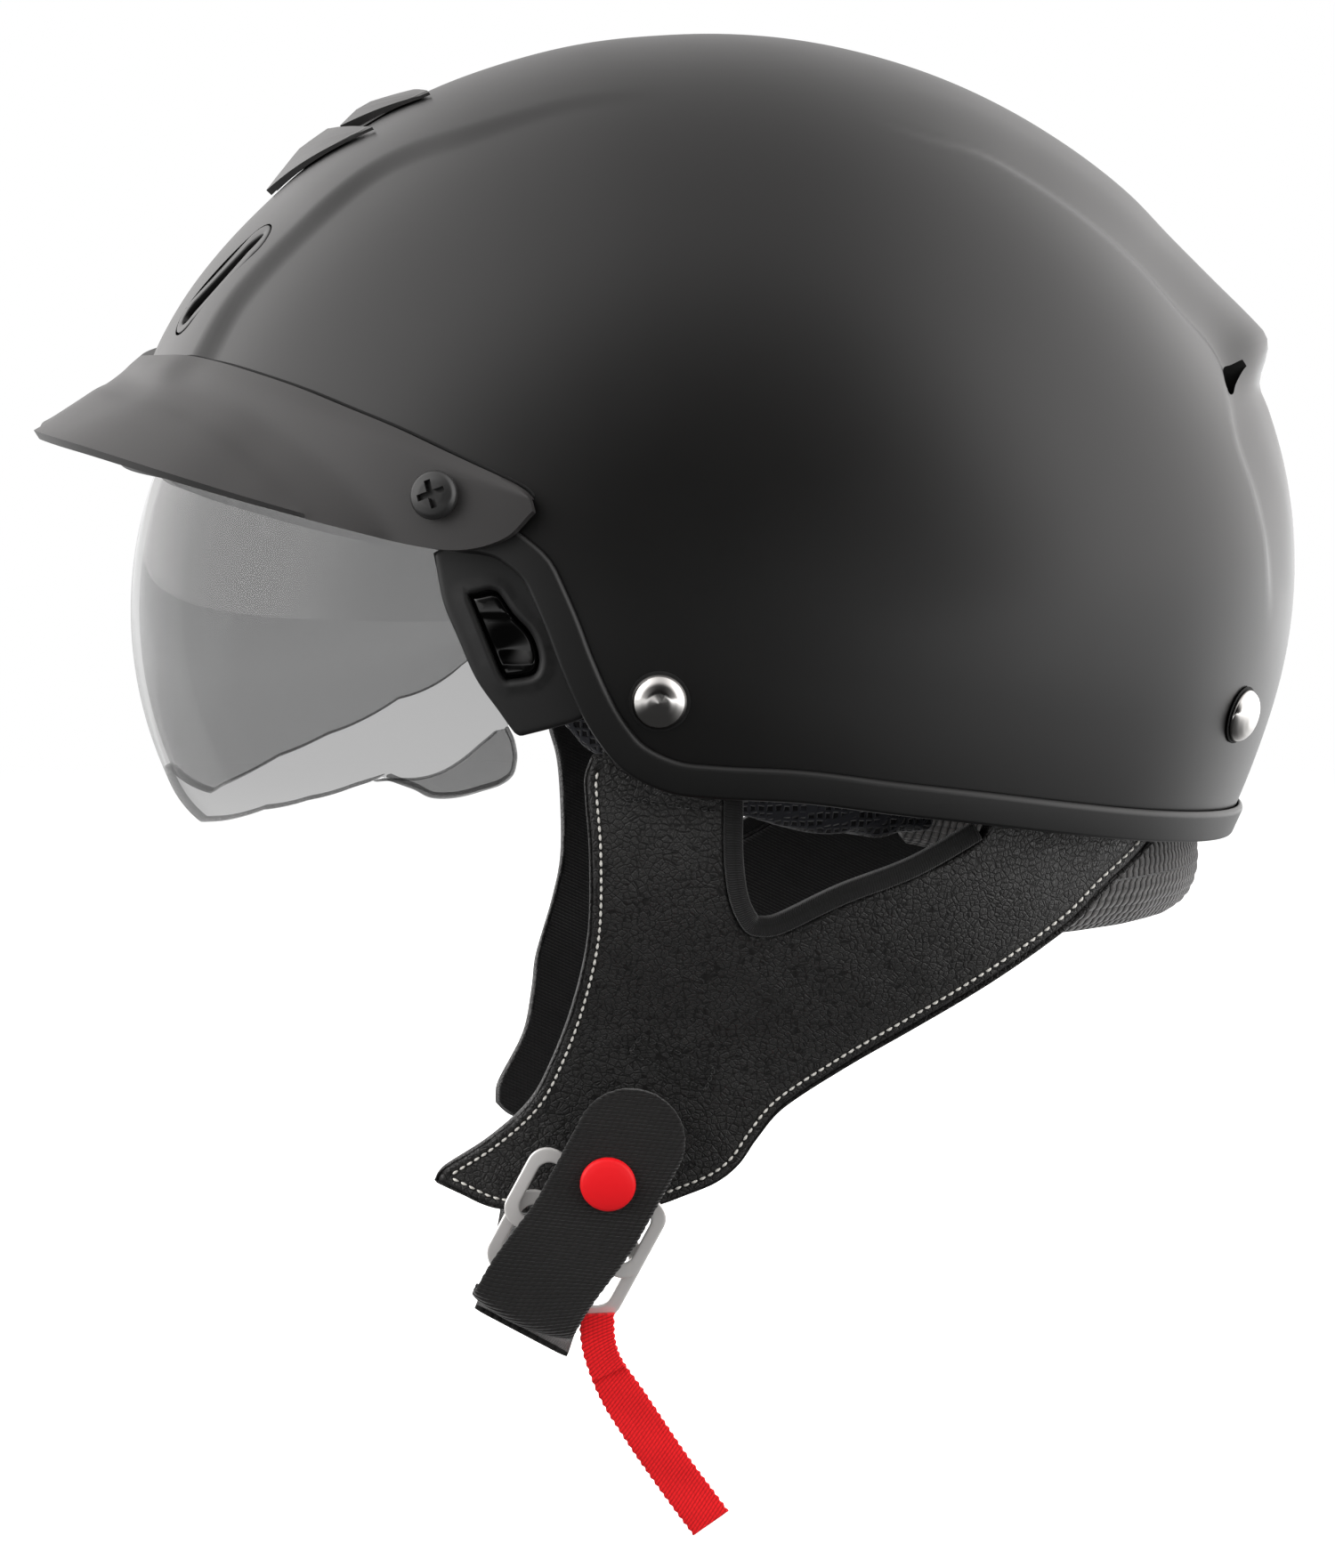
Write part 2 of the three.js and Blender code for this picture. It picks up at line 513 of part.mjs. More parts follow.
function visorGrid(inset) {
  const columns = [...VISOR_COLUMNS.slice(1).reverse().map((c) => -c), ...VISOR_COLUMNS];
  return columns.map((c) => {
    const a = Math.abs(c), x = c * (VISOR_HALF_W - inset) / VISOR_HALF_W;
    const rho = (VISOR_R - inset)
      * Math.pow(1 - Math.pow(a / VISOR_HALF_W, VISOR_POWER), 1 / VISOR_POWER);
    const low = linear(c >= 0 ? VISOR_LOW_LEFT : VISOR_LOW_RIGHT, a) * DEG;
    const high = linear(VISOR_TOP, a) * DEG;
    return VISOR_ROWS.map((v) => {
      const angle = low + (high - low) * v;
      return vec(x, PIVOT_Y - rho * Math.cos(angle), PIVOT_Z + rho * Math.sin(angle));
    });
  });
}
const PIVOT = sideFrame(PIVOT_Y, PIVOT_Z);
{
  let lens = sheet(visorGrid(0), visorGrid(VISOR_T));
  const disc = moved(rod(14, VISOR_HALF_W - VISOR_T - 0.35, VISOR_HALF_W - 0.05, 18), PIVOT);
  for (const arm of bothSides(disc)) lens = join(lens, arm);
  lens = cut(lens, moved(rod(PIVOT_HOLE_R, -130, 130, 12), PIVOT));
  add('sun_visor', lens, LOOK.visor);
}
// shouldered pivot screw through each visor arm into the housing
pair('visor_pivot', moved(lathe([
  [0, 91], [5.6, 91], [5.6, 92.7], [3.3, 92.7], [3.3, 98.7], [0, 98.7],
], 12), PIVOT), LOOK.pivot);

// ---------------------------------------------------------------- visor housings and latches
// outlines: [y, z]
const HOUSING = [
  [-67, 21.5], [-66.4, 18.5], [-64.8, 10.4], [-61.5, 2.4], [-57.5, -6.6], [-52.5, -13.7],
  [-48.9, -18.7], [-47.5, -19.5], [-36.5, -16.4], [-33, -15], [-31, 5], [-33, 20], [-44, 26],
  [-60, 26],
];
const LATCH_WINDOW = [
  [-59, 12.3], [-54.2, 13.6], [-52.4, 12.9], [-49.2, 8.4], [-45.6, 4.6], [-43.9, 1.2],
  [-43.3, -2.6], [-44.8, -5.6], [-50.9, -6.8], [-52, -5.2],
];
// outline with every point drawn towards the mean point by a distance
function drawnIn(outline, distance) {
  const [cy, cz] = [0, 1].map((k) => outline.reduce((sum, p) => sum + p[k] / outline.length, 0));
  return outline.map(([y, z]) => {
    const length = Math.hypot(y - cy, z - cz), scale = (length - distance) / length;
    return [cy + (y - cy) * scale, cz + (z - cz) * scale];
  });
}
// block from a flat face at innerX out to `inset` inside the shell
function sideBlock(outline, inset, innerX) {
  const grid = (xAt) => [-72, -66, -60, -54, -48, -42, -36, -30, -22].map((y) =>
    [-24, -16, -8, 0, 8, 16, 24, 32].map((z) => vec(xAt(y, z), y, z)));
  const slab = sheet(grid((y, z) => shellX(y, z) - inset), grid(() => innerX));
  return overlap(slab, sidePrism(outline, 80, 125));
}
pair('visor_housing', cut(
  sideBlock(HOUSING, 6.6, 98.2),
  sidePrism(LATCH_WINDOW, 98.9, 125),
  moved(rod(PIVOT_HOLE_R, 90, 104, 16), PIVOT)), LOOK.housing);
pair('visor_latch', sideBlock(drawnIn(LATCH_WINDOW, 0.7), 7.6, 100.6), LOOK.latch);

// ---------------------------------------------------------------- crown vent
function ventBase() {
  const grid = (height) => [-1, -0.7, -0.35, 0, 0.35, 0.7, 1].map((side) =>
    [0, 0.25, 0.5, 0.75, 1].map((v) => {
      const halfW = 11 * Math.sin(Math.PI * (0.16 + 0.7 * v));
      return onto(vec(side * halfW, -104 + 40 * v, 103 + 22 * v), outerRadius, height);
    }));
  return cut(sheet(grid(1.3), grid(0.5)), ventHole(3.6));
}
// swept-wing plate; each edge runs from its centre point to its left tip
function sweptPlate({ front, rear, base, frontH, rearH }) {
  const edgePoint = ([centre, tip], u) => vec(...centre).lerp(vec(...tip), u);
  const grid = (heights) => range(9).map((k) => {
    const side = Math.sign(k - 4) || 1, u = Math.abs(k - 4) / 4;
    const a = edgePoint(front, u), c = edgePoint(rear, u);
    return [a, a.clone().lerp(c, 0.5), c].map((p, row) =>
      onto(vec(p.x * side, p.y, p.z), outerRadius, base + heights[row] * (1 - 0.55 * u)));
  });
  return sheet(grid([frontH, (frontH + rearH) / 2 - 0.5, rearH]), grid([0, 0, 0]));
}
add('crown_vent_base', ventBase(), LOOK.ventBase);
add('crown_vent_slider', sweptPlate({
  front: [[0, -106, 100.6], [24, -84.5, 114.3]],
  rear: [[0, -91.6, 116.2], [25.2, -82, 116]],
  base: 2.05, frontH: 0.3, rearH: 2.6,
}), LOOK.vent);
add('crown_vent_scoop', sweptPlate({
  front: [[0, -89, 117.8], [19.6, -70.6, 123.4]],
  rear: [[0, -80.5, 122.8], [20.6, -68, 124.8]],
  base: 1.7, frontH: 0.5, rearH: 2.1,
}), LOOK.vent);

// ---------------------------------------------------------------- intake frames, exhaust grilles
function intakeFrame() {
  const bendR = 150; // lengthwise curve that follows the shell
  const body = prism(stadium(SLOT_HALF_L, 5.5), -4.2, 1.2);
  const flange = prism(stadium(SLOT_HALF_L + 1, 6.5), 1, 2);
  const g = cut(join(body, flange), prism(stadium(SLOT_HALF_L - 2.6, 3.1), -10, 10));
  const p = g.attributes.position;
  for (let i = 0; i < p.count; i++) p.setZ(i, p.getZ(i) - p.getY(i) ** 2 / (2 * bendR));
  return moved(merged(g), SLOT);
}
function exhaustGrille() {
  const scale = 0.86, cx = 6.8, cy = 0.5;
  const outline = EXHAUST_OUTLINE.map(([x, y]) => [cx + (x - cx) * scale, cy + (y - cy) * scale]);
  return moved(prism(outline, -4.5, -1.5), EXHAUST);
}
pair('intake_frame', intakeFrame(), LOOK.intake);
pair('exhaust_grille', exhaustGrille(), LOOK.exhaust);

// ---------------------------------------------------------------- impact liner (expanded foam)
const LINER_UP = 14; // bottom edge of the liner above the rim
const LINER_ROWS = [0, 0.09, 0.18, 0.27, 0.36, 0.45, 0.54, 0.63, 0.75, 0.87, 1];
const cavityZ = (z) => (z > 0 ? CAVITY.z : CAVITY.zBelow);
function cavityRadius(d) {
  const length = d.length();
  return 1 / Math.sqrt((d.x / length / CAVITY.x) ** 2 + (d.y / length / CAVITY.y) ** 2
    + (d.z / length / cavityZ(d.z)) ** 2);
}
// where direction d leaves the visor's space: radius, angle about the pivot, visor column
function visorSpace(d) {
  const pointAt = (r) => d.clone().setLength(r);
  const radius = bisect(40, 150, (r) => {
    const p = pointAt(r), rho = Math.hypot(p.y - PIVOT_Y, p.z - PIVOT_Z);
    return Math.pow(rho / SWEEP_R, VISOR_POWER)
      + Math.pow(Math.abs(p.x) / SWEEP_HALF_W, VISOR_POWER) < 1;
  });
  const p = pointAt(radius);
  return {
    radius,
    angle: Math.atan2(p.z - PIVOT_Z, -(p.y - PIVOT_Y)) / DEG,
    column: Math.abs(p.x) * VISOR_HALF_W / SWEEP_HALF_W,
  };
}
function linerRadius(d) {
  const base = baseRadius(d), z = d.z / d.length() * base;
  let r = base - 5.8 - 9.7 * (1 - smooth(4, 26, z));
  const pullIn = (target, weight) => {
    if (target < r) r = r * (1 - weight) + target * weight;
  };
  // room for the lens lifted into the slot
  const space = visorSpace(d), top = Math.max(80, linear(VISOR_TOP, space.column) + 55);
  pullIn(space.radius, 1 - smooth(top, top + 9, space.angle));
  // room for the visor housings and the pivot heads
  const housingX = 96.5, pivotHeadX = 90.4;
  const dx = Math.abs(d.x) / d.length();
  const q = d.clone().setLength(Math.min(r, housingX / Math.max(dx, 0.3)));
  const rho = Math.hypot(q.y - PIVOT_Y, q.z - PIVOT_Z);
  pullIn(housingX / dx, (1 - smooth(-26, -16, q.y)) * (1 - smooth(30, 40, q.z)));
  pullIn(pivotHeadX / dx, 1 - smooth(22, 30, rho));
  return Math.max(r, cavityRadius(d) + 3);
}
add('eps_liner', sheet(
  domeGrid(LINER_ROWS, linerRadius, LINER_UP),
  domeGrid(LINER_ROWS, cavityRadius, LINER_UP), true), LOOK.foam);

// ---------------------------------------------------------------- comfort pads
function crownPad() {
  const radii = [0, 12, 24, 32, 40];
  const underside = [SEAT_Z, SEAT_Z, SEAT_Z, 96.3, 91.5];
  const topAt = (x, y) =>
    CAVITY.z * Math.sqrt(1 - (x / CAVITY.x) ** 2 - (y / CAVITY.y) ** 2) - 2.4;
  const grid = (height) => range(14).map((k) => radii.map((r, j) => {
    const a = k * Math.PI / 7, x = r * Math.cos(a), y = r * 1.12 * Math.sin(a);
    return vec(x, y, height(x, y, j));
  }));
  return sheet(grid(topAt), grid((x, y, j) => underside[j]), true);
}
// pad between two depths inside the cavity wall; angles in degrees
function cavityPad(thetas, phis, outerDepth, innerDepth) {
  const grid = (depth) => thetas.map((theta) => phis.map((phi) =>
    onto(dirOf(theta * DEG, phi * DEG), cavityRadius, -depth)));
  return sheet(grid(outerDepth), grid(innerDepth));
}
function sidePad() {
  const lowEdge = [ // [y, z]
    [-42, -15], [-34, -26], [-24, -33], [-10, -40], [6, -44], [20, -47.5], [36, -48.5], [50, -45],
  ];
  const topZ = 18;
  const cavityX = (y, z) =>
    CAVITY.x * Math.sqrt(1 - (y / CAVITY.y) ** 2 - (z / cavityZ(z)) ** 2);
  const grid = (depth) => lowEdge.map(([y, low]) => [0, 0.2, 0.45, 0.7, 1].map((v) => {
    const z = low + (topZ - low) * v;
    return vec(cavityX(y, z) - depth, y, z);
  }));
  return sheet(grid(2.8), grid(11));
}
// roll round the nape, tapering towards its ends
function neckRoll() {
  return loft(range(13).map((k) => {
    const degrees = -66 + 11 * k, a = degrees * DEG;
    const taper = 1 - 0.5 * smooth(46, 66, Math.abs(degrees));
    const centre = vec(82 * Math.sin(a), 8 + 101 * Math.cos(a), -58);
    const out = vec(Math.sin(a) * 1.15, Math.cos(a), 0).normalize();
    return range(12).map((j) => {
      const q = j / 12 * 2 * Math.PI;
      return centre.clone().addScaledVector(out, 8.5 * taper * Math.cos(q))
        .add(vec(0, 0, 12.3 * taper * Math.sin(q)));
    });
  }));
}
add('crown_pad', crownPad(), LOOK.pad);
add('brow_pad', cavityPad(
  range(9).map((k) => -48 + 12 * k), [20.5, 26, 33], 2.4, 9.5), LOOK.pad);
add('rear_pad', cavityPad(
  range(9).map((k) => 128 + 13 * k), [-8, 4, 16, 26], 2.8, 10.5), LOOK.pad);
pair('side_pad', sidePad(), LOOK.pad);
add('neck_roll', neckRoll(), LOOK.neckRoll);

// ---------------------------------------------------------------- leather Y-straps
// height down to which the strap follows the shell: [y, z]
const FOLLOW_Z = [[-80, -27], [-16, -27], [15, -32], [55, -38], [88, -44], [125, -50]];
// inward lean below that: [drop, lean]
const LEAN = [
  [0, 0], [10, 1.5], [20, 4.5], [35, 12.5], [50, 23], [62, 32], [74, 38.5], [85, 43.3],
  [97, 46.6], [115, 49.6],
];
// x of the strap's middle surface
function strapX(y, z) {
  const followZ = linear(FOLLOW_Z, y), h = Math.max(z, followZ), e = 0.5;
  const slopeY = (shellX(y + e, h) - shellX(y - e, h)) / (2 * e);
  const slopeZ = (shellX(y, h + e) - shellX(y, h - e)) / (2 * e);
  const inset = (9.2 + 1.1 * smooth(58, 76, y)) * Math.sqrt(1 + slopeY ** 2 + slopeZ ** 2);
  return shellX(y, h) - inset - (followZ > z ? spline(LEAN, followZ - z) : 0);
}
// cover outlines, [y, z]: the front edge differs from side to side, the rest is shared
const COVER_FRONT = {
  left: [
    [-32.5, -28.5], [-32.3, -34.2], [-31.4, -46.7], [-31.6, -66.4], [-35, -84.8],
    [-39.9, -99.7], [-45.1, -110], [-54.4, -119.3], [-64.8, -126.9], [-66.5, -129.8],
    [-60.7, -132.3], [-52.3, -135.5],
  ],
  right: [
    [-37.6, -30], [-37.2, -36.7], [-35.1, -44.6], [-34.3, -55.5], [-34.5, -68.4],
    [-36.9, -78.8], [-41, -91.2], [-42.2, -99.6], [-44.5, -110.1], [-50.8, -121.8],
    [-51.3, -126.6], [-48, -129.6], [-40, -133],
  ],
};
const COVER_REST = [
  [-34, -136.5], [-15.9, -133.8], [-8.7, -131.2], [-1.4, -127.9], [3.7, -123.4],
  [7.8, -116.9], [13.8, -109.1], [28.1, -98.7], [42.1, -89.6], [58.2, -79.3], [78.7, -65.3],
  [87.1, -57.6], [98.3, -48.7], [103, -40], [60, -37], [56.7, -44.3], [42.4, -52.1],
  [26.2, -58.3], [12.3, -65.4], [7.3, -66.3], [3.2, -64.7], [-0.3, -57.6], [-1.9, -46.5],
  [-2, -35], [-2, -25],
];
// webbing outlines of the front and rear legs: [y, z]
const WEB_FRONT = [
  [-29.2, -2.5], [-4.2, -2.5], [-4.6, -30], [-4.8, -60], [-8, -90], [-14, -112],
  [-22, -133], [-46, -133], [-39.5, -117], [-34, -95], [-29.4, -70], [-29, -40],
];
const WEB_REAR = [
  [-14, -112], [-8, -88], [20, -78], [46, -63.5], [64, -52], [80, -42.5], [98, -29],
  [110, -12], [121.5, -12.5], [120.5, -27], [104, -42], [92, -52.5], [76, -64], [58, -77],
  [36, -90], [12, -103], [-4, -113],
];
// outline shrunk along its corner bisectors
function shrunk(outline, distance) {
  const n = outline.length;
  const area = outline.reduce((sum, p, i) => {
    const q = outline[(i + 1) % n];
    return sum + p[0] * q[1] - q[0] * p[1];
  }, 0);
  const turn = Math.sign(area);
  return outline.map((p, i) => {
    const before = outline[(i + n - 1) % n], after = outline[(i + 1) % n];
    const u = [p[0] - before[0], p[1] - before[1]], v = [after[0] - p[0], after[1] - p[1]];
    const uLength = Math.hypot(...u), vLength = Math.hypot(...v);
    const nx = -(u[1] / uLength + v[1] / vLength) * turn;
    const ny = (u[0] / uLength + v[0] / vLength) * turn;
    const length = Math.hypot(nx, ny) || 1;
    return [p[0] + nx / length * distance, p[1] + ny / length * distance];
  });
}
const strapOutline = (outline) => sidePrism(outline, 0, 130);
// layer between two offsets from the strap's middle surface
function strapLayer(inner, outer, outlineSolid) {
  const grid = (offset) => [-72, -44, -18, 8, 34, 58, 76, 92, 108, 128].map((y) =>
    [-142, -120, -104, -88, -70, -50, -28, 4].map((z) => vec(strapX(y, z) + offset, y, z)));
  return overlap(sheet(grid(outer), grid(inner)), outlineSolid);
}
pair('strap_webbing', cut(
  strapLayer(-0.75, 0.75, join(strapOutline(WEB_FRONT), strapOutline(WEB_REAR))),
  ...Object.values(RIVETS).map((at) => moved(rod(HOLE_R, -24, 6), at))), LOOK.webbing);
for (const side of ['left', 'right']) {
  const place = (g) => (side === 'left' ? g : mirrored(g));
  const outline = [[-30, -24], ...COVER_FRONT[side], ...COVER_REST];
  const cover = strapLayer(1.2, 2.6, strapOutline(outline));
  const lining = strapLayer(-2.6, -1.2, strapOutline(shrunk(outline, 0.8)));
  add(`strap_cover_${side}`, place(cover), LOOK.leather);
  add(`strap_lining_${side}`, place(lining), LOOK.lining);
}

// ---------------------------------------------------------------- buckle, on the left strap
const DOWN = vec(-0.15, -0.456, -0.877).normalize(); // down the strap
const OUT = vec(1, 0, 0).addScaledVector(DOWN, -DOWN.x).normalize();
const ACROSS = OUT.clone().cross(DOWN).normalize(); // towards the rear
const SNAP = vec(72, -27.1, -127.1);
const fromSnap = (across, down, out) => SNAP.clone().addScaledVector(ACROSS, across)
  .addScaledVector(DOWN, down).addScaledVector(OUT, out);
// places a solid whose x runs across, y up the strap and z outwards
const atBuckle = (g, across = 0, down = 0, out = 0) =>
  merged(moved(g, frame(fromSnap(across, down, out), ACROSS, DOWN.clone().negate(), OUT)));

// rounded top, straight sides, turned in at the bottom fold
function strapTail() {
  const topEnd = -24, foldStart = 36, foldR = 3, out = -1.5;
  const roundStart = topEnd + TAIL_HALF_W;
  const station = (down, outAt, halfW, turn) => ({
    centre: fromSnap(-2.6 * smooth(8, 34, down), down, outAt),
    across: ACROSS,
    normal: vec(0, 0, 0).addScaledVector(DOWN, Math.sin(turn)).addScaledVector(OUT, Math.cos(turn)),
    halfW,
  });
  const straight = [topEnd, -23, -20.5, -16.5, -12, -6, 2, 12, 24, foldStart].map((down) => {
    const t = Math.max(0, roundStart - down) / TAIL_HALF_W;
    return station(down, out, TAIL_HALF_W * Math.sqrt(Math.max(0.02, 1 - t ** 2)), 0);
  });
  const fold = [30, 60, 90].map((degrees) => {
    const turn = degrees * DEG;
    const foldOut = out - foldR + foldR * Math.cos(turn);
    return station(foldStart + foldR * Math.sin(turn), foldOut, TAIL_HALF_W, turn);
  });
  return ribbon([...straight, ...fold], WEB_T);
}
// flat frame with rounded corners
function dRing(halfW, halfH, cornerR) {
  const rail = 3.2, t = 1.2;
  return cut(
    prism(roundedRect(halfW, halfH, cornerR), 0, t),
    prism(roundedRect(halfW - rail, halfH - rail, cornerR - rail), -2, t + 2));
}
// webbing loop that carries both rings, sewn to the leather
function ringLoop() {
  const innerR = 1.8, t = 1, out = -7.4;
  const grid = (r) => [13.5, -4.6].flatMap((down, end) => range(5).map((k) => {
    const q = end * Math.PI + k / 4 * Math.PI;
    return [-12, 12].map((a) => fromSnap(a, down + r * Math.sin(q), out + r * Math.cos(q)));
  }));
  return sheet(grid(innerR + t), grid(innerR), true);
}
add('strap_tail', strapTail(), LOOK.tail);
add('snap_cap', atBuckle(lathe([
  [0, -0.4], [SNAP_R, -0.4], [SNAP_R, 0.5], [5.6, 1.3], [3.4, 1.8], [0, 1.95],
], 18)), LOOK.snapCap);
add('snap_socket', atBuckle(tube(2.2, 4.6, -3.7, -2.55, 12)), LOOK.snap);
add('d_ring_outer', atBuckle(dRing(17.8, 10.6, 5), -0.8, 10.6, -7.2), LOOK.dRing);
add('d_ring_inner', atBuckle(dRing(17.2, 11.4, 6), 0, 22.4, -8.8), LOOK.dRing);
add('ring_loop', ringLoop(), LOOK.webbing);
add('snap_stud', atBuckle(lathe([
  [0, -4.35], [4.2, -4.35], [4.2, -3.95], [1.8, -3.95], [1.8, -2.8], [0, -2.8],
], 12)), LOOK.snap);

// ---------------------------------------------------------------- chin strap, tab, bindings
const curveThrough = (points) => new THREE.CatmullRomCurve3(points.map((p) => vec(...p)));
// from the right strap, under the chin, to the fold at the buckle
function chinStrap() {
  const curve = curveThrough([
    [-56.5, -35, -138.5], [-51, -37, -146.5], [-40, -39, -153], [-22, -40.5, -157.5],
    [0, -41.5, -159.5], [24, -43.4, -161.8], [46, -45.8, -163.2], [59.9, -47.1, -163.7],
  ]);
  return ribbon(range(17).map((k) => {
    const u = k / 16, tangent = curve.getTangentAt(u);
    const aim = vec(0, 0.93, -0.36).lerp(ACROSS, smooth(0.55, 1, u)).normalize();
    const normal = tangent.clone().cross(aim).normalize();
    const across = normal.clone().cross(tangent).normalize();
    return { centre: curve.getPointAt(u), across, normal, halfW: 12.2 };
  }), WEB_T);
}
// red ribbon hanging from the inner ring
function pullTab() {
  const curve = curveThrough([
    [61.3, -29.4, -159.5], [60.5, -29, -166.9], [59, -26.2, -174.8], [58, -18.8, -187],
    [57.2, -11.4, -198.2], [56.5, -2.5, -210.6],
  ]);
  return ribbon(range(13).map((k) => {
    const tangent = curve.getTangentAt(k / 12);
    const normal = X_AXIS.clone().addScaledVector(tangent, -tangent.x).normalize();
    const across = normal.clone().cross(tangent).normalize();
    return { centre: curve.getPointAt(k / 12), across, normal, halfW: 4 + smooth(2, 5, k) };
  }), 1.1);
}
// binding round the notch between the strap's two legs
function notchBinding() {
  const curve = curveThrough([ // [0, y, z]
    [0, -2, -33], [0, -1.9, -46.5], [0, -0.3, -57.6], [0, 3.2, -64.7], [0, 7.3, -66.3],
    [0, 12.3, -65.4], [0, 26.2, -58.3], [0, 42.4, -52.1], [0, 57.5, -44],
  ]);
  const notchMiddle = vec(0, 20, -44);
  return ribbon(range(23).map((k) => {
    const p = curve.getPointAt(k / 22), tangent = curve.getTangentAt(k / 22);
    const across = vec(0, -tangent.z, tangent.y);
    if (across.dot(notchMiddle.clone().sub(p)) < 0) across.negate();
    p.addScaledVector(across, 3);
    return { centre: vec(strapX(p.y, p.z), p.y, p.z), across, normal: X_AXIS, halfW: 1.8 };
  }), 4.8);
}
add('chin_strap', chinStrap(), LOOK.chinStrap);
add('pull_tab', pullTab(), LOOK.pullTab);
pair('notch_binding', notchBinding(), LOOK.binding);

export default part;
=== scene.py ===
# Open-face helmet: domed shell, peak, sun visor, crown vent, padding, leather Y-straps
# and a D-ring buckle. Lengths are mm about the dome centre: -Y is the front, +Y the rear,
# +X the wearer's left and +Z up. mesh_obj() lowers points by SEAT and turns mm into metres.
import math
import bpy
import bmesh
import numpy as np
from mathutils import Matrix, Vector
from mathutils.geometry import delaunay_2d_cdt


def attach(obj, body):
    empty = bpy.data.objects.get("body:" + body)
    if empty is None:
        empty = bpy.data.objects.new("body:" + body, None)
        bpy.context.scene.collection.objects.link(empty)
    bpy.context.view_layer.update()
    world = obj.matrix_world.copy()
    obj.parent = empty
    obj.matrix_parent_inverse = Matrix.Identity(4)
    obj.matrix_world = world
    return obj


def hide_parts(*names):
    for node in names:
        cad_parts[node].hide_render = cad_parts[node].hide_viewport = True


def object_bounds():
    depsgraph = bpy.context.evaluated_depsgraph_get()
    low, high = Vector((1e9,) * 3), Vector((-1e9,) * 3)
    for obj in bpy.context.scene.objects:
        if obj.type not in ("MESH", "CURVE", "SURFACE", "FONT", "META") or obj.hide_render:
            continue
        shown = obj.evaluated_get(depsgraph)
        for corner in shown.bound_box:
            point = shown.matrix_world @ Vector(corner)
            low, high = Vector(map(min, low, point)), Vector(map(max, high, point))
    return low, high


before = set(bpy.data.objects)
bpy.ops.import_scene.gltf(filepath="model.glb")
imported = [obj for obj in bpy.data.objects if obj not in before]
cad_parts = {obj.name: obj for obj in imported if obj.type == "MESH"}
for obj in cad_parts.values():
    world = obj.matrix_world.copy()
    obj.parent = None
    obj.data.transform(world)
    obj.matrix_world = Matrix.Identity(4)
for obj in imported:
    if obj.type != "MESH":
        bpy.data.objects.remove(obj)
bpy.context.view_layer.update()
SEAT = 98.0  # the dome centre is this far below the row origin


# ---------------------------------------------------------------- small maths
def vec(*v):
    return np.array(v, float)


def table(text):
    """Rows separated by commas, columns by spaces."""
    return np.array([[float(n) for n in row.split()] for row in text.split(",")])


def ease(a, b, x):
    """Smooth step from 0 at a to 1 at b."""
    t = np.clip((np.asarray(x, float) - a) / (b - a), 0, 1)
    return t * t * (3 - 2 * t)


def linear(knots, x):
    knots = np.array(knots, float)
    return np.interp(x, knots[:, 0], knots[:, 1])


def spline(knots, x, period=0):
    """Cubic through (x, y) knots, which a period repeats past both ends."""
    if period:
        turn = [period, 0]
        knots = np.vstack([knots[-2:] - turn, knots, knots[:2] + turn])
    X, Y = knots[:, 0], knots[:, 1]
    m = np.empty(len(X))
    m[1:-1] = (Y[2:] - Y[:-2]) / (X[2:] - X[:-2])
    m[0], m[-1] = (Y[1] - Y[0]) / (X[1] - X[0]), (Y[-1] - Y[-2]) / (X[-1] - X[-2])
    x = np.clip(np.asarray(x, float), X[0], X[-1])
    i = np.clip(np.searchsorted(X, x, side="left") - 1, 0, len(X) - 2)
    h = X[i + 1] - X[i]
    u = (x - X[i]) / h
    u2, u3 = u * u, u * u * u
    return ((2 * u3 - 3 * u2 + 1) * Y[i] + (u3 - 2 * u2 + u) * h * m[i]
            + (3 * u2 - 2 * u3) * Y[i + 1] + (u3 - u2) * h * m[i + 1])


def smoothed(values, times):
    for _ in range(times):
        middle = (values[:-2] + 2 * values[1:-1] + values[2:]) / 4
        values = np.concatenate([values[:1], middle, values[-1:]])
    return values


def length(v):
    return np.linalg.norm(v, axis=-1)


def unit(v):
    return v / np.maximum(1e-12, np.linalg.norm(v, axis=-1, keepdims=True))


def run_length(path):
    return np.concatenate([[0], np.cumsum(length(np.diff(path, axis=0)))])


def along(t, s, path):
    """Points of a path with run lengths s, read at t."""
    return np.stack([np.interp(t, s, path[:, k]) for k in range(path.shape[1])], -1)


def left_normal(t):
    return np.stack([-t[:, 1], t[:, 0]], -1)


def uv_grid(u, v):
    return np.stack(np.broadcast_arrays(u, v), -1)


# ---------------------------------------------------------------- form of the shell
HALF_WIDTH, SHELL_THICK = 118.0, 4.0
# side-view angle (deg: 0 front, 90 crown, 180 rear), radius
SIDE_RADIUS = table("""-90 133.5, -60 137, -30 140, 0 143.4, 15 145, 30 145.2, 36 144.4,
    43 143.2, 47.5 142.5, 53.6 141.6, 61.3 140.9, 68.7 140.1, 76.7 139.6, 85.6 138.9,
    90 138.8, 98.7 138.8, 107.7 138.9, 117 138.7, 127.6 138, 135 137.6, 140 137.4, 146 137.6,
    151.4 138.2, 156.4 139, 163.6 140, 169 140.4, 174 139.8, 180 138.3, 186.4 136.4,
    193 134.2, 197.5 133.3, 200.7 132.7, 215 131.6, 240 131.6""")
# raised middle band: side-view angle, height
BAND_HEIGHT = table("""8 0, 17.5 0.3, 24 2.2, 30 2.4, 36 2.2, 43 2, 47 2.2, 54 2, 61 1.6,
    69 0.9, 77 0.4, 85 0, 103 0, 109 0.2, 117 0.9, 124 1.9, 130 3, 135 3.9, 140.2 4.4,
    146.2 6.4, 151.4 9.2, 153 10, 154.4 8.4, 156.6 3, 159 2.4, 163.6 1.5, 169 0.5, 174 0,
    180 0""")
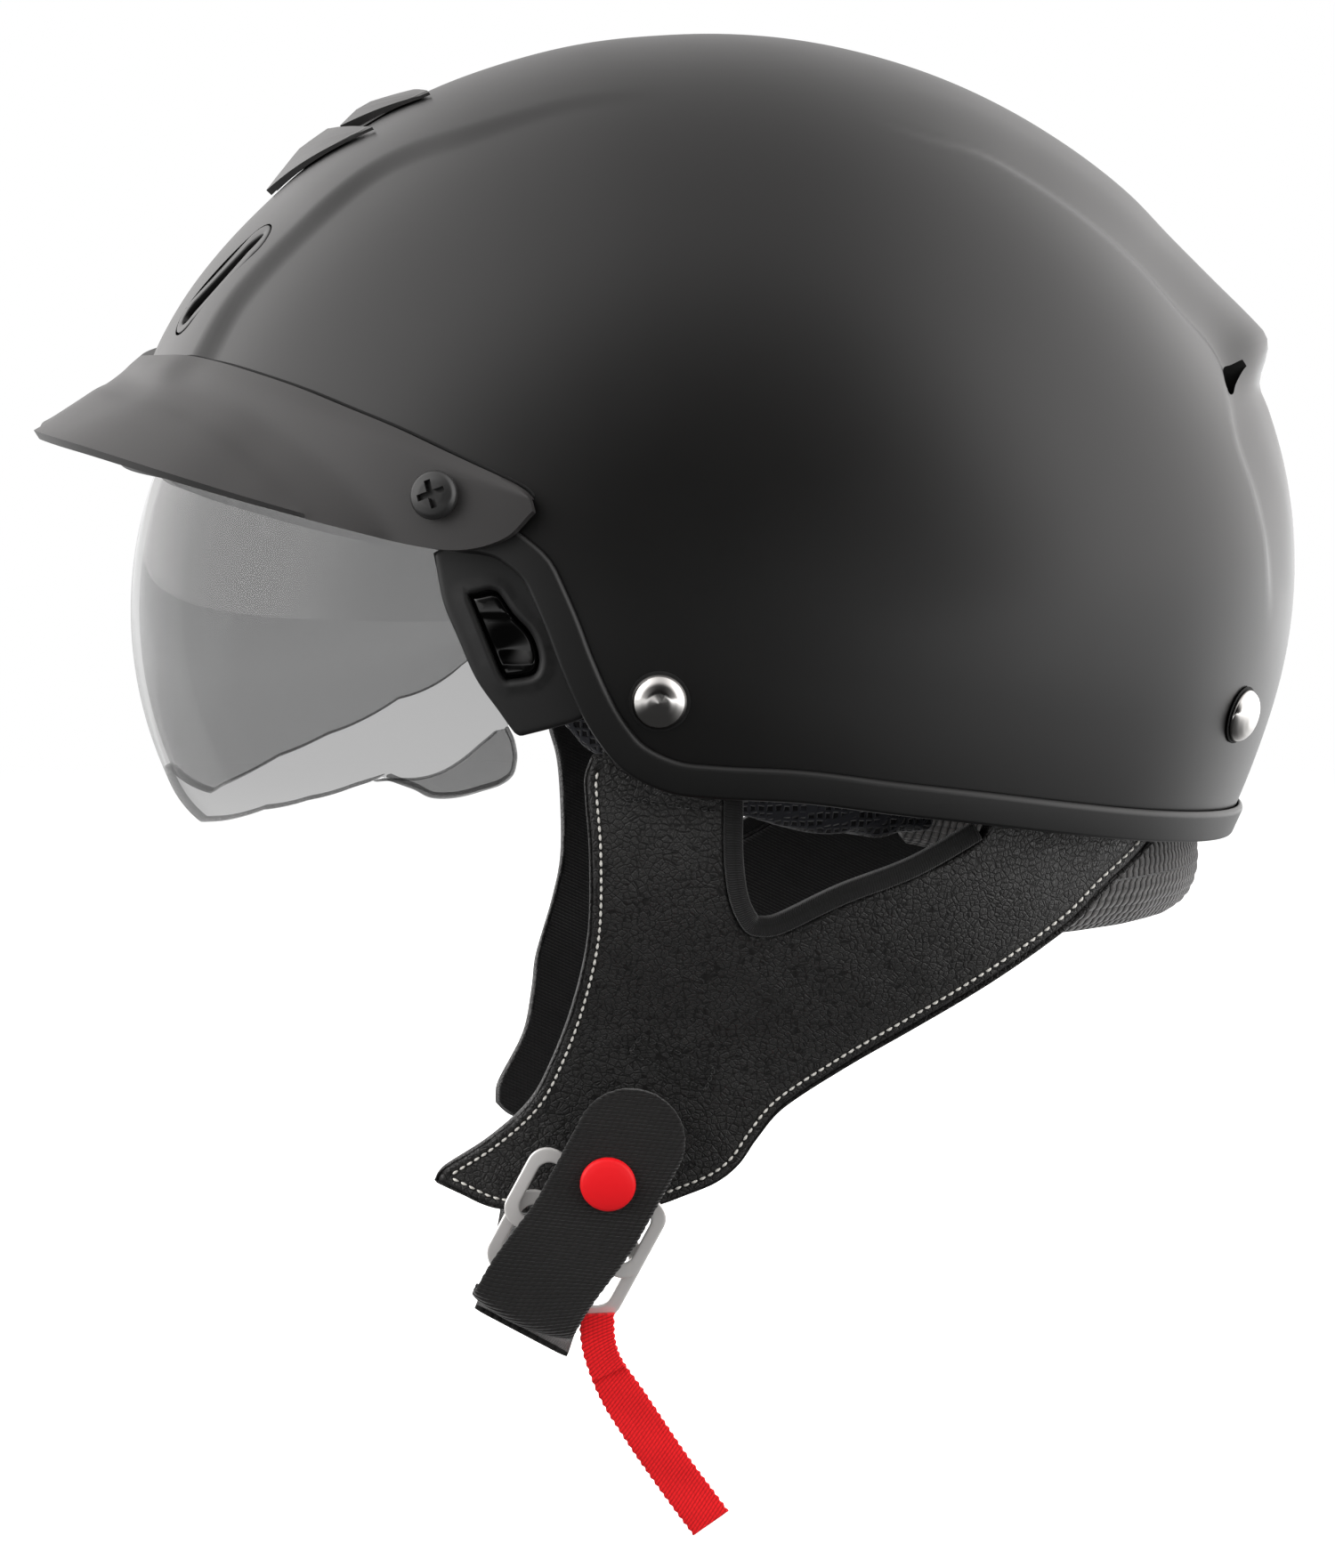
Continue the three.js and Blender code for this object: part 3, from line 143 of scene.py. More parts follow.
# side-view angle, half width
BAND_WIDTH = table("""20 48, 30 47.8, 33.6 46.3, 40.6 46.8, 47 46.6, 52.6 45.8, 57.5 48.5,
    62 52.8, 68 54.9, 73.8 55.8, 95 62, 112 64, 118 59.8, 125.5 57.7, 132.6 55, 140 51.3,
    146 49, 151.5 42.6, 154.5 50, 159 59, 163 59.7, 180 58""")
# rim seen from the side: y, z
RIM_HEIGHT = table("""-150 36, -138 36, -118 34.8, -110 33, -85 28.3, -65 23, -53.5 21.3,
    -49.5 18.8, -46.5 15.9, -44.6 11.9, -41.6 5, -38.6 -3, -34.7 -11.9, -30.7 -18.9,
    -24.7 -26, -14.8 -31, -4.8 -32.4, 15.2 -33.6, 35.3 -36.4, 55.8 -39.3, 76.9 -42.8,
    87.7 -44.7, 108.5 -48.2, 120.7 -50.3, 135 -53""")

# smoothed lookups, so dense surfaces carry no facets from the knots
TURN_AT = np.arange(-90, 270.01, 0.5)
turn_radius = spline(SIDE_RADIUS, TURN_AT, 360)
for _ in range(60):
    ring = turn_radius[:-1]
    turn_radius = (np.roll(ring, 1) + 2 * ring + np.roll(ring, -1)) / 4
    turn_radius = np.append(turn_radius, turn_radius[0])
BAND_AT = np.arange(8, 180.01, 0.25)
band_height = smoothed(spline(BAND_HEIGHT, BAND_AT), 6)
band_width = smoothed(spline(BAND_WIDTH, BAND_AT), 60)


def side_angle(y, z):
    angle = np.degrees(np.arctan2(z, -y))
    return np.where(angle < -90, angle + 360, angle)


def side_radius(y, z):
    return np.interp(side_angle(y, z), TURN_AT, turn_radius)


def roundness(y, z):
    """Exponent of the cross-section, squarer towards the rear."""
    cosine = np.clip(-y / np.maximum(1e-9, np.hypot(y, z)), -1, 1)
    return 2.12 + 0.28 * ease(40, 150, np.degrees(np.arccos(cosine)))


def base_r(d):
    """Radius of the plain shell form in direction d."""
    d = np.asarray(d, float)
    reach = length(d)
    x, y, z = np.abs(d[..., 0]) / reach, d[..., 1], d[..., 2]
    c = np.hypot(y, z) / reach
    n = roundness(y, z)
    return ((c / side_radius(y, z)) ** n + (x / HALF_WIDTH) ** n) ** (-1 / n)


def base_x(y, z):
    """Half width of the plain form at (y, z)."""
    n = roundness(y, z)
    c = np.hypot(y, z) / side_radius(y, z)
    return HALF_WIDTH * np.maximum(1e-6, 1 - c ** n) ** (1 / n)


def outer_r(d):
    """Radius of the painted surface: the plain form with the raised band."""
    d = np.asarray(d, float)
    r = base_r(d)
    angle = side_angle(d[..., 1], d[..., 2])
    x = np.abs(d[..., 0]) / length(d) * r
    w = np.interp(angle, BAND_AT, band_width)
    banded = (angle > 8) & (angle < 180)
    hard = 1 - ease(w - 3.6, w + 2.6, x)  # stepped edge, front and crown
    soft = 1 - ease(9.0, w + 1.0, x)      # sloping shoulders, rear
    fade = 1 - ease(172, 180, angle)
    rear = ease(108, 124, angle) * fade
    crease = 0.75 * ease(104, 118, angle) * fade * (1 - ease(w - 1.6, w + 1.2, x))
    crease = crease * ease(w - 24, w - 3, x)
    height = np.where(banded, np.maximum(0, np.interp(angle, BAND_AT, band_height)), 0)
    return r + height * (hard * (1 - rear) + soft * rear) - np.where(banded, crease, 0)


def onto(p, radius, lift=0.0):
    """Points moved radially onto a surface, then lifted."""
    p = np.asarray(p, float)
    return unit(p) * (radius(p) + lift)[..., None]


def normal_at(p, radius, e=0.4):
    def height(q):
        return length(q) - radius(q)
    steps = (vec(e, 0, 0), vec(0, e, 0), vec(0, 0, e))
    return unit(np.stack([height(p + v) - height(p - v) for v in steps], -1))


def direction(turn, rise):
    """Turn from the front towards +X, rise above the horizon (radians)."""
    return np.stack([np.sin(turn) * np.cos(rise), -np.cos(turn) * np.cos(rise),
                     np.sin(rise)], -1)


def make_rim(columns):
    """Evenly spaced rim points, surface normals and directions up the shell."""
    turn = np.linspace(0, 2 * np.pi, 2881)[:-1]
    low = np.full(turn.shape, -50 * np.pi / 180)
    high = np.full(turn.shape, 60 * np.pi / 180)
    for _ in range(45):
        mid = (low + high) / 2
        d = direction(turn, mid)
        p = d * base_r(d)[:, None]
        below = p[:, 2] - spline(RIM_HEIGHT, p[:, 1]) < 0
        low, high = np.where(below, mid, low), np.where(below, high, mid)
    d = direction(turn, (low + high) / 2)
    p = d * base_r(d)[:, None]
    loop = np.vstack([p, p[:1]])
    turns = np.append(turn, 2 * np.pi)
    s = run_length(loop)
    points = along(np.interp(np.arange(columns) / columns * s[-1], s, turns), turns, loop)
    normals = normal_at(points, base_r)
    tangents = unit(np.roll(points, -2, 0) - np.roll(points, 2, 0))
    up = unit(np.cross(normals, tangents))
    up[(up[:, 2] + 0.3 * up[:, 1]) < 0] *= -1
    for _ in range(4):
        up = unit(np.roll(up, 1, 0) + 2 * up + np.roll(up, -1, 0))
    return points, normals, up


RIM, RIM_NORMAL, RIM_UP = make_rim(480)


def rim_offset(up, out):
    return onto(RIM + RIM_UP * up, base_r) + RIM_NORMAL * out


# ---------------------------------------------------------------- mesh helpers
COLLECTION = bpy.context.scene.collection


def mesh_obj(name, points, faces, material=None, smooth=True, uv=None):
    """Object from dome-centred mm points; uv is per point, in mm."""
    points = np.asarray(points, float).reshape(-1, 3).copy()
    points[:, 2] -= SEAT
    mesh = bpy.data.meshes.new(name)
    mesh.from_pydata((points / 1000).tolist(), [], [list(map(int, f)) for f in faces])
    mesh.validate()
    if uv is not None:
        uv = np.asarray(uv, float).reshape(-1, 2)
        layer = mesh.uv_layers.new(name="st")
        corner = np.empty(len(mesh.loops), np.int32)
        mesh.loops.foreach_get("vertex_index", corner)
        layer.data.foreach_set("uv", uv[corner].astype(np.float32).ravel())
    obj = bpy.data.objects.new(name, mesh)
    COLLECTION.objects.link(obj)
    if material:
        mesh.materials.append(material)
    bm = bmesh.new()
    bm.from_mesh(mesh)
    bmesh.ops.recalc_face_normals(bm, faces=bm.faces)
    bm.to_mesh(mesh)
    bm.free()
    if smooth:
        mesh.shade_smooth()
    mesh.update()
    return obj


def sharpen(obj, degrees):
    """Smooth shading with sharp edges above an angle."""
    obj.data.shade_smooth()
    obj.data.set_sharp_from_angle(angle=math.radians(degrees))
    return obj


def bevel(obj, width, segments, degrees):
    """Bevel modifier; width in metres."""
    mod = obj.modifiers.new("bev", "BEVEL")
    mod.width, mod.segments = width, segments
    mod.limit_method, mod.angle_limit = "ANGLE", math.radians(degrees)


def grid_faces(ni, nj, wrap_i=False, wrap_j=False, base=0, flip=False):
    faces = []
    for i in range(ni if wrap_i else ni - 1):
        for j in range(nj if wrap_j else nj - 1):
            i2, j2 = (i + 1) % ni, (j + 1) % nj
            quad = [i * nj + j, i2 * nj + j, i2 * nj + j2, i * nj + j2]
            if flip:
                quad = [quad[0], quad[3], quad[2], quad[1]]
            faces.append([base + k for k in quad])
    return faces


def tube_faces(rings, sides, closed=False):
    faces = grid_faces(rings, sides, closed, True)
    if not closed:
        faces += [list(range(sides))[::-1], [(rings - 1) * sides + j for j in range(sides)]]
    return faces


def sheet(name, outer, inner, material, wrap=False, uv=None):
    """Closed wall between two (ni, nj, 3) grids."""
    ni, nj = outer.shape[:2]
    k = ni * nj
    faces = grid_faces(ni, nj, wrap) + grid_faces(ni, nj, wrap, base=k, flip=True)
    for i in range(ni if wrap else ni - 1):
        i2 = (i + 1) % ni
        for j in (0, nj - 1):
            faces.append([i * nj + j, k + i * nj + j, k + i2 * nj + j, i2 * nj + j])
    if not wrap:
        for j in range(nj - 1):
            for a in (j, (ni - 1) * nj + j):
                faces.append([a, a + 1, k + a + 1, k + a])
    if uv is not None:
        uv = np.concatenate([uv.reshape(-1, 2)] * 2)
    points = np.concatenate([outer.reshape(-1, 3), inner.reshape(-1, 3)])
    return mesh_obj(name, points, faces, material, uv=uv)


def loft(name, rings, material, closed=False, uv=None):
    """Skin over (n, k, 3) rings of a closed section."""
    return mesh_obj(name, rings, tube_faces(*rings.shape[:2], closed), material, uv=uv)


def frame_at(origin, normal, up=vec(0, 0, 1)):
    """Frame (origin, x, y, z) with z along the normal."""
    z = unit(normal)
    x = unit(np.cross(up, z))
    return origin, x, np.cross(z, x), z


def place(p, frame):
    origin, x, y, z = frame
    return origin + p[..., 0:1] * x + p[..., 1:2] * y + p[..., 2:3] * z


def at_height(outline, h):
    return np.c_[outline, np.broadcast_to(h, len(outline))]


def lathe(name, profile, frame, material, segments, closed=False):
    """Turned (radius, height) profile; closed joins its two ends."""
    profile = np.array(profile, float)
    a = np.arange(segments) / segments * 2 * np.pi
    p = np.stack([np.outer(np.cos(a), profile[:, 0]), np.outer(np.sin(a), profile[:, 0]),
                  np.tile(profile[:, 1], (segments, 1))], -1)
    faces = grid_faces(segments, len(profile), True, closed)
    return mesh_obj(name, place(p, frame), faces, material)


def round_corners(points, radius, n):
    """Open polyline with its corners rounded in n steps."""
    points = [np.array(p, float) for p in points]
    out = [points[0]]
    for a, b, c in zip(points[:-2], points[1:-1], points[2:]):
        u, v = a - b, c - b
        lu, lv = np.linalg.norm(u), np.linalg.norm(v)
        k = min(radius, lu * 0.45, lv * 0.45)
        p, q = b + u / lu * k, b + v / lv * k
        for t in np.linspace(0, 1, n + 1):
            out.append((1 - t) ** 2 * p + 2 * t * (1 - t) * b + t * t * q)
    out.append(points[-1])
    return np.array(out)


def resample(path, step, closed=True):
    path = np.asarray(path, float)
    if closed:
        path = np.vstack([path, path[:1]])
    s = run_length(path)
    n = max(3, int(round(s[-1] / step)))
    even = along(np.linspace(0, s[-1], n + 1), s, path)
    return even[:-1] if closed else even


def catmull(points, n, closed=True, sharp=()):
    """Smooth curve, n steps a span; points whose indices are in sharp stay corners."""
    points = np.asarray(points, float)
    count, out = len(points), []
    for i in range(count if closed else count - 1):
        p1, p2 = points[i], points[(i + 1) % count]
        p0 = points[i - 1] if closed or i > 0 else p1
        p3 = points[(i + 2) % count] if closed or i + 2 < count else p2
        m1 = (p2 - p1) if i in sharp else (p2 - p0) / 2
        m2 = (p2 - p1) if (i + 1) % count in sharp else (p3 - p1) / 2
        span = np.linalg.norm(p2 - p1)
        for m in (m1, m2):
            size = np.linalg.norm(m)
            if size > span * 1.2:
                m *= span * 1.2 / size
        for t in np.arange(n) / n:
            t2, t3 = t * t, t * t * t
            out.append((2 * t3 - 3 * t2 + 1) * p1 + (t3 - 2 * t2 + t) * m1
                       + (3 * t2 - 2 * t3) * p2 + (t3 - t2) * m2)
    if not closed:
        out.append(points[-1])
    return np.array(out)


def trace(points, n, step):
    """Open smooth curve, evenly stepped."""
    return resample(catmull(points, n, False), step, False)


def inside(points, poly):
    x, y = points[:, 0][:, None], points[:, 1][:, None]
    a, b = poly, np.roll(poly, -1, 0)
    cross_x = (b[:, 0] - a[:, 0]) * (y - a[:, 1]) / (b[:, 1] - a[:, 1] + 1e-12) + a[:, 0]
    c = ((a[:, 1] > y) != (b[:, 1] > y)) & (x < cross_x)
    return c.sum(1) % 2 == 1


def dist_to(points, poly, closed=True):
    a = poly if closed else poly[:-1]
    b = np.roll(poly, -1, 0) if closed else poly[1:]
    ab = b - a
    best = np.full(len(points), 1e9)
    for s in range(0, len(points), 4000):  # in batches, to save memory
        p = points[s:s + 4000][:, None]
        t = np.clip(((p - a) * ab).sum(-1) / np.maximum(1e-12, (ab * ab).sum(-1)), 0, 1)
        best[s:s + 4000] = length(p - a - t[..., None] * ab).min(1)
    return best


def fill2d(outline, holes, step, rings, edge):
    """Points, triangles and edge distances inside an outline, denser near its edges."""
    def is_filled(q):
        ok = inside(q, loops[0])
        for hole in loops[1:]:
            ok &= ~inside(q, hole)
        return ok

    def edge_distance(q):
        return np.min([dist_to(q, loop) for loop in loops], 0)

    loops = [resample(loop, edge) for loop in (outline, *holes)]
    lo, hi = loops[0].min(0), loops[0].max(0)
    gx, gy = np.meshgrid(np.arange(lo[0], hi[0], step), np.arange(lo[1], hi[1], step * 0.87))
    gx = gx + (np.arange(gx.shape[0])[:, None] % 2) * step / 2
    # candidate points, and the least distance from an edge they are kept at
    groups = [(np.stack([gx.ravel(), gy.ravel()], -1), rings[-1] + step * 0.6)]
    for loop in loops:
        n = unit(left_normal(np.roll(loop, -1, 0) - np.roll(loop, 1, 0)))
        for k in rings:
            groups += [(loop + n * k, k * 0.93), (loop - n * k, k * 0.93)]
    kept = []
    for group, least in groups:
        group = group[is_filled(group)]
        kept.append(group[edge_distance(group) > least])
    edges, base = [], 0
    for loop in loops:
        n = len(loop)
        edges += [(base + i, base + (i + 1) % n) for i in range(n)]
        base += n
    points = [Vector(p) for p in np.vstack(loops + kept).tolist()]
    found = delaunay_2d_cdt(points, edges, [], 1, 1e-4)
    points = np.array([list(v) for v in found[0]])
    tris = np.array([f for f in found[2] if len(f) == 3])
    tris = tris[is_filled(points[tris].mean(1))]
    used = np.unique(tris)
    renumber = -np.ones(len(points), int)
    renumber[used] = np.arange(len(used))
    points = points[used]
    return points, renumber[tris], edge_distance(points)


def slab(name, outline, top, bottom, material, to_3d, step, edge, rings, holes=()):
    """Solid over a 2-D outline: top(p, d) and bottom(p, d) give heights at points p that
    lie d from the edge, to_3d(p, height) the points."""
    p, tris, d = fill2d(outline, holes, step, rings, edge)
    n = len(p)
    count = {}
    for t in tris:
        for a, b in ((t[0], t[1]), (t[1], t[2]), (t[2], t[0])):
            key = (min(a, b), max(a, b))
            count[key] = count.get(key, 0) + 1
    walls = [[a, b, b + n, a + n] for (a, b), k in count.items() if k == 1]
    faces = tris.tolist() + (tris[:, ::-1] + n).tolist() + walls
    points = np.vstack([to_3d(p, top(p, d)), to_3d(p, bottom(p, d))])
    return mesh_obj(name, points, faces, material, uv=np.vstack([p, p]))


def rounded(r):
    """Drop near an edge that gives a corner of radius r."""
    return lambda d: -(r - np.sqrt(np.maximum(0, r * r - np.maximum(0, r - d) ** 2)))


def flat(h):
    return lambda p, d: np.full(len(p), h)


def bead(name, path, normals, half_width, half_height, material, sides=10, closed=False):
    """Rounded bead lying on a surface along a path; open ends taper."""
    if closed:
        tangents = unit(np.roll(path, -1, 0) - np.roll(path, 1, 0))
        taper = np.ones(len(path))
    else:
        tangents = unit(np.gradient(path, axis=0))
        i = np.arange(len(path))
        taper = np.sqrt(np.clip(np.minimum(i, len(path) - 1 - i) / 3, 0.05, 1))
    across = unit(np.cross(normals, tangents))
    a = np.arange(sides) / sides * 2 * math.pi
    taper = taper[:, None, None]
    rings = (path[:, None] + across[:, None] * (np.cos(a) * half_width)[None, :, None] * taper
             + normals[:, None] * (np.sin(a) * half_height)[None, :, None] * taper)
    return loft(name, rings, material, closed)


def prism_data(outline, low, high, frame):
    """Points and faces of a straight prism."""
    n = len(outline)
    layers = np.vstack([at_height(outline, low), at_height(outline, high)])
    faces = [list(range(n)), [n + i for i in range(n)][::-1]]
    faces += [[i, (i + 1) % n, n + (i + 1) % n, n + i] for i in range(n)]
    return place(layers, frame), faces


def prism(name, outline, low, high, frame, material=None, mirror=False):
    points, faces = prism_data(outline, low, high, frame)
    if mirror:
        points[:, 0] *= -1
    return mesh_obj(name, points, faces, material, smooth=False)


def carve(obj, cutters):
    """Cuts the cutters out of obj for good and deletes them."""
    for cutter in cutters:
        mod = obj.modifiers.new("b", "BOOLEAN")
        mod.operation, mod.solver, mod.object = "DIFFERENCE", "EXACT", cutter
    graph = bpy.context.evaluated_depsgraph_get()
    carved = bpy.data.meshes.new_from_object(obj.evaluated_get(graph))
    obj.modifiers.clear()
    old = obj.data
    obj.data = carved
    bpy.data.meshes.remove(old)
    for cutter in cutters:
        bpy.data.objects.remove(cutter)


def thread_sheet(name, starts, ends, normals, radius, material):
    """Short stitches in one mesh: capsules bowed outwards."""
    stations, sides = 7, 6
    points, faces = [], []
    for a, b, normal in zip(starts, ends, normals):
        across = unit(np.cross(normal, unit(b - a)))
        base = len(points)
        for i in range(stations):
            u = i / (stations - 1)
            r = radius * max(0.08, math.sin(math.pi * (0.06 + 0.88 * u))) ** 0.5
            c = a + (b - a) * u + normal * (0.55 * radius * math.sin(math.pi * u))
            for j in range(sides):
                q = j / sides * 2 * math.pi
                points.append(c + across * r * math.cos(q) + normal * r * math.sin(q))
        faces += [[base + f for f in face] for face in tube_faces(stations, sides)]
    return mesh_obj(name, points, faces, material)


def put(obj, node=None, body="helmet"):
    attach(obj, body)
    if node:
        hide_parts(node)


def pair(make, base, bodies=("helmet", "helmet"), replace=True):
    """make(name) builds the left piece; the right one is its mirror image."""
    left = make(base + "_left_v")
    mesh = left.data.copy()
    mesh.name = base + "_right_v"
    mesh.transform(Matrix.Scale(-1, 4, (1, 0, 0)))
    mesh.flip_normals()
    right = bpy.data.objects.new(base + "_right_v", mesh)
    COLLECTION.objects.link(right)
    for obj, side, body in zip((left, right), ("_left", "_right"), bodies):
        put(obj, base + side if replace else None, body)


# ---------------------------------------------------------------- materials
class Shader:
    """Node tree of a material or world. Inputs go by name, or by number as _0, _1."""

    def __init__(self, owner, output="OutputMaterial"):
        owner.use_nodes = True
        self.owner, self.tree = owner, owner.node_tree
        self.tree.nodes.clear()
        self.output = self.tree.nodes.new("ShaderNode" + output)

    def node(self, kind, settings={}, **inputs):
        node = self.tree.nodes.new("ShaderNode" + kind)
        for key, value in settings.items():
            setattr(node, key, value)
        for key, value in inputs.items():
            key = int(key[1:]) if key[1:].isdigit() else key.replace("_", " ")
            socket = node.inputs[key]
            if isinstance(value, bpy.types.NodeSocket):
                self.tree.links.new(value, socket)
            else:
                socket.default_value = (*value, 1.0) if socket.type == "RGBA" else value
        return node.outputs

    def coords(self):
        return self.node("TexCoord")["Object"]

    def axes(self, vector):
        return self.node("SeparateXYZ", _0=vector)

    def math(self, operation, a, b=0.0):
        return self.node("Math", {"operation": operation}, _0=a, _1=b)[0]

    def plus(self, a, b):
        return self.math("ADD", a, b)

    def minus(self, a, b):
        return self.math("SUBTRACT", a, b)

    def times(self, a, b):
        return self.math("MULTIPLY", a, b)

    def noise(self, at, scale, detail=3, rough=0.5):
        return self.node("TexNoise", Vector=at, Scale=scale, Detail=detail,
                         Roughness=rough)[0]

    def cell_edge(self, at, scale, randomness=1.0):
        """Distance to the nearest edge of a cell pattern."""
        return self.node("TexVoronoi", {"feature": "DISTANCE_TO_EDGE"}, Vector=at,
                         Scale=scale, Randomness=randomness)["Distance"]

    def ramp(self, value, low, high, at_low=0.0, at_high=1.0):
        return self.node("MapRange", {"interpolation_type": "SMOOTHSTEP"}, Value=value,
                         From_Min=low, From_Max=high, To_Min=at_low, To_Max=at_high)[0]

    def mix(self, factor, a, b):
        return self.node("Mix", {"data_type": "RGBA"}, _0=factor, _6=a, _7=b)[2]

    def bump(self, height, depth):
        return self.node("Bump", Height=height, Distance=depth, Strength=1.0)[0]

    def finish(self, shader):
        self.tree.links.new(shader, self.output.inputs[0])
        return self.owner

    def principled(self, color, rough, metallic=0.0, specular=0.5, **extra):
        return self.finish(self.node(
            "BsdfPrincipled", Base_Color=color, Roughness=rough, Metallic=metallic,
            Specular_IOR_Level=specular, **extra)[0])


def new_shader(name):
    return Shader(bpy.data.materials.new(name))


def scaled(color, k):
    return tuple(x * k for x in color)


def plastic(name, base, rough, grain, depth, spread=0.05, specular=0.5):
    m = new_shader(name)
    at = m.coords()
    patches = m.noise(at, scale=14.0)
    fine = m.noise(at, scale=grain, rough=0.6)
    color = m.mix(m.ramp(patches, 0.35, 0.65), base, scaled(base, 1.18))
    mottle = m.times(m.minus(m.noise(at, scale=60.0, detail=4), 0.5), spread)
    return m.principled(color, m.plus(rough, mottle), specular=specular,
                        Normal=m.bump(fine, depth))


# name, base colour, roughness, grain scale (1/m), bump depth (m), roughness spread, specular
PAINT = plastic("matt_paint", (0.0030, 0.0028, 0.0027), 0.36, 2600.0, 8e-6, 0.04)
PEAK_PLASTIC = plastic("peak_plastic", (0.0250, 0.0238, 0.0236), 0.44, 1500.0, 2.2e-5)
RUBBER = plastic("edge_rubber", (0.0035, 0.0035, 0.0035), 0.44, 900.0, 1.0e-5, 0.08)
HOUSING = plastic("housing_plastic", (0.0095, 0.0095, 0.0097), 0.52, 1400.0, 1.6e-5)
VENT = plastic("vent_plastic", (0.0210, 0.0206, 0.0204), 0.34, 1600.0, 1.0e-5)
# recess_black_and_painted_shadow also colours the painted shadow line under the peak's rear edge
RECESS_AND_SHADOW = plastic("recess_black_and_painted_shadow", (0.0020, 0.0020, 0.0020), 0.8, 900.0, 2e-5)
# pit_black_painted_shade: near-black and barely reflecting, painted shade for the depth of the
# intake slots
PIT_SHADE = plastic("pit_black_painted_shade", (0.0004, 0.0004, 0.0004), 0.9, 900.0, 2e-5, 0.02, 0.02)
SCREW = plastic("screw_head", (0.018, 0.018, 0.018), 0.30, 700.0, 8e-6, 0.06)
GLOSS = plastic("gloss_black", (0.0010, 0.0010, 0.0010), 0.10, 500.0, 1e-6, 0.03)
ENAMEL = plastic("snap_enamel", (0.80, 0.0070, 0.0120), 0.42, 900.0, 4e-6, 0.05, 0.25)


def metal(name, color, rough, depth):
    m = new_shader(name)
    at = m.coords()
    rough = m.plus(rough, m.times(m.noise(at, scale=220.0, detail=5, rough=0.7), 0.07))
    return m.principled(m.mix(m.noise(at, scale=90.0), color, scaled(color, 0.9)), rough,
                        metallic=1.0, Normal=m.bump(m.noise(at, scale=420.0, detail=4), depth))


CHROME = metal("bright_plate", (0.74, 0.72, 0.70), rough=0.10, depth=2e-6)


def ring_plate():
    m = new_shader("ring_plate")
    at = m.coords()
    # near-white base with little metal: the plating's own grey plus painted brightness standing
    # for its reflections
    color = m.mix(m.noise(at, scale=90.0), (0.90, 0.88, 0.865), (0.83, 0.81, 0.795))
    return m.principled(color, 0.20, metallic=0.32,
                        Normal=m.bump(m.noise(at, scale=420.0, detail=4), 2e-6))


RING_PLATE = ring_plate()
STEEL = metal("zinc_plate", (0.55, 0.55, 0.55), rough=0.28, depth=6e-6)


def smoke(name, clear, base, rough):
    """Tinted lens: clear is the share let through, a little less towards its top."""
    m = new_shader(name)
    facing = m.node("LayerWeight", Blend=0.28)["Facing"]
    z = m.axes(m.coords())[2]
    density = m.ramp(z, -0.165, -0.075, 1 - clear, 1 - clear + 0.045)
    grazing = m.times(m.math("POWER", facing, 3.0), 0.42)
    return m.principled(base, rough, specular=0.55, Alpha=m.plus(density, grazing))


LENS = smoke("smoke_lens", clear=0.700, base=(0.02, 0.02, 0.021), rough=0.03)
LENS_TAB = smoke("smoke_lens_tab", clear=0.66, base=(0.012, 0.012, 0.012), rough=0.12)
LENS_EDGE = smoke("smoke_lens_edge", clear=0.56, base=(0.012, 0.012, 0.012), rough=0.06)


def bead_foam():
    m = new_shader("foam_beads")
    edge = m.cell_edge(m.coords(), 330.0)
    color = m.mix(m.ramp(edge, 0.0, 0.12), (0.008, 0.008, 0.008), (0.022, 0.022, 0.023))
    return m.principled(color, 0.75, Normal=m.bump(m.ramp(edge, 0.0, 0.16), 2.5e-4))


FOAM = bead_foam()


def spacer_mesh():
    """Open mesh knit: near-regular holes between raised threads."""
    m = new_shader("spacer_mesh")
    at = m.coords()
    hole = m.ramp(m.cell_edge(at, 520.0, randomness=0.28), 0.10, 0.26)
    fibre = m.noise(at, scale=2600.0, rough=0.7)
    # holes take the near-black colour: painted shade inside the knit's holes
    color = m.mix(hole, (0.030, 0.031, 0.038), (0.0016, 0.0016, 0.0030))
    height = m.minus(m.times(fibre, 0.15), hole)
    return m.principled(color, 0.82, specular=0.3, Normal=m.bump(height, 6e-4),
                        Sheen_Weight=0.25, Sheen_Roughness=0.5)


MESH_KNIT = spacer_mesh()


def weave(name, low, high, pitch_u, pitch_v, depth, twill=0.5, rough=0.78, sheen=0.3):
    """Woven tape, patterned from the strip's own millimetres across (u) and along (v)."""
    m = new_shader(name)

    def humps(phase):
        return m.math("ABSOLUTE", m.math("SINE", m.times(phase, math.pi)))

    across = m.axes(m.node("UVMap", {"uv_map": "st"})[0])
    u = m.math("DIVIDE", across[0], pitch_u)
    v = m.math("DIVIDE", across[1], pitch_v)
    wobble = m.noise(m.coords(), scale=420.0)
    rows = humps(m.plus(m.plus(v, m.times(u, twill)), m.times(wobble, 0.22)))
    columns = m.times(m.math("POWER", humps(u), 0.5), 0.45)
    height = m.times(m.math("POWER", rows, 0.6), m.plus(0.55, columns))
    fibre = m.noise(m.coords(), scale=3200.0, rough=0.7)
    relief = m.plus(height, m.times(fibre, 0.22))
    wear = m.ramp(m.noise(m.coords(), scale=60.0, detail=4), 0.25, 0.75, 0.72, 1.0)
    # crests take the crest colour and valleys the darker valley colour: painted shade in the
    # weave's valleys; wear varies it at random
    shade = m.times(m.ramp(height, 0.25, 0.95), wear)
    return m.principled(m.mix(shade, low, high), rough, specular=0.35,
                        Normal=m.bump(relief, depth), Sheen_Weight=sheen,
                        Sheen_Roughness=0.45)
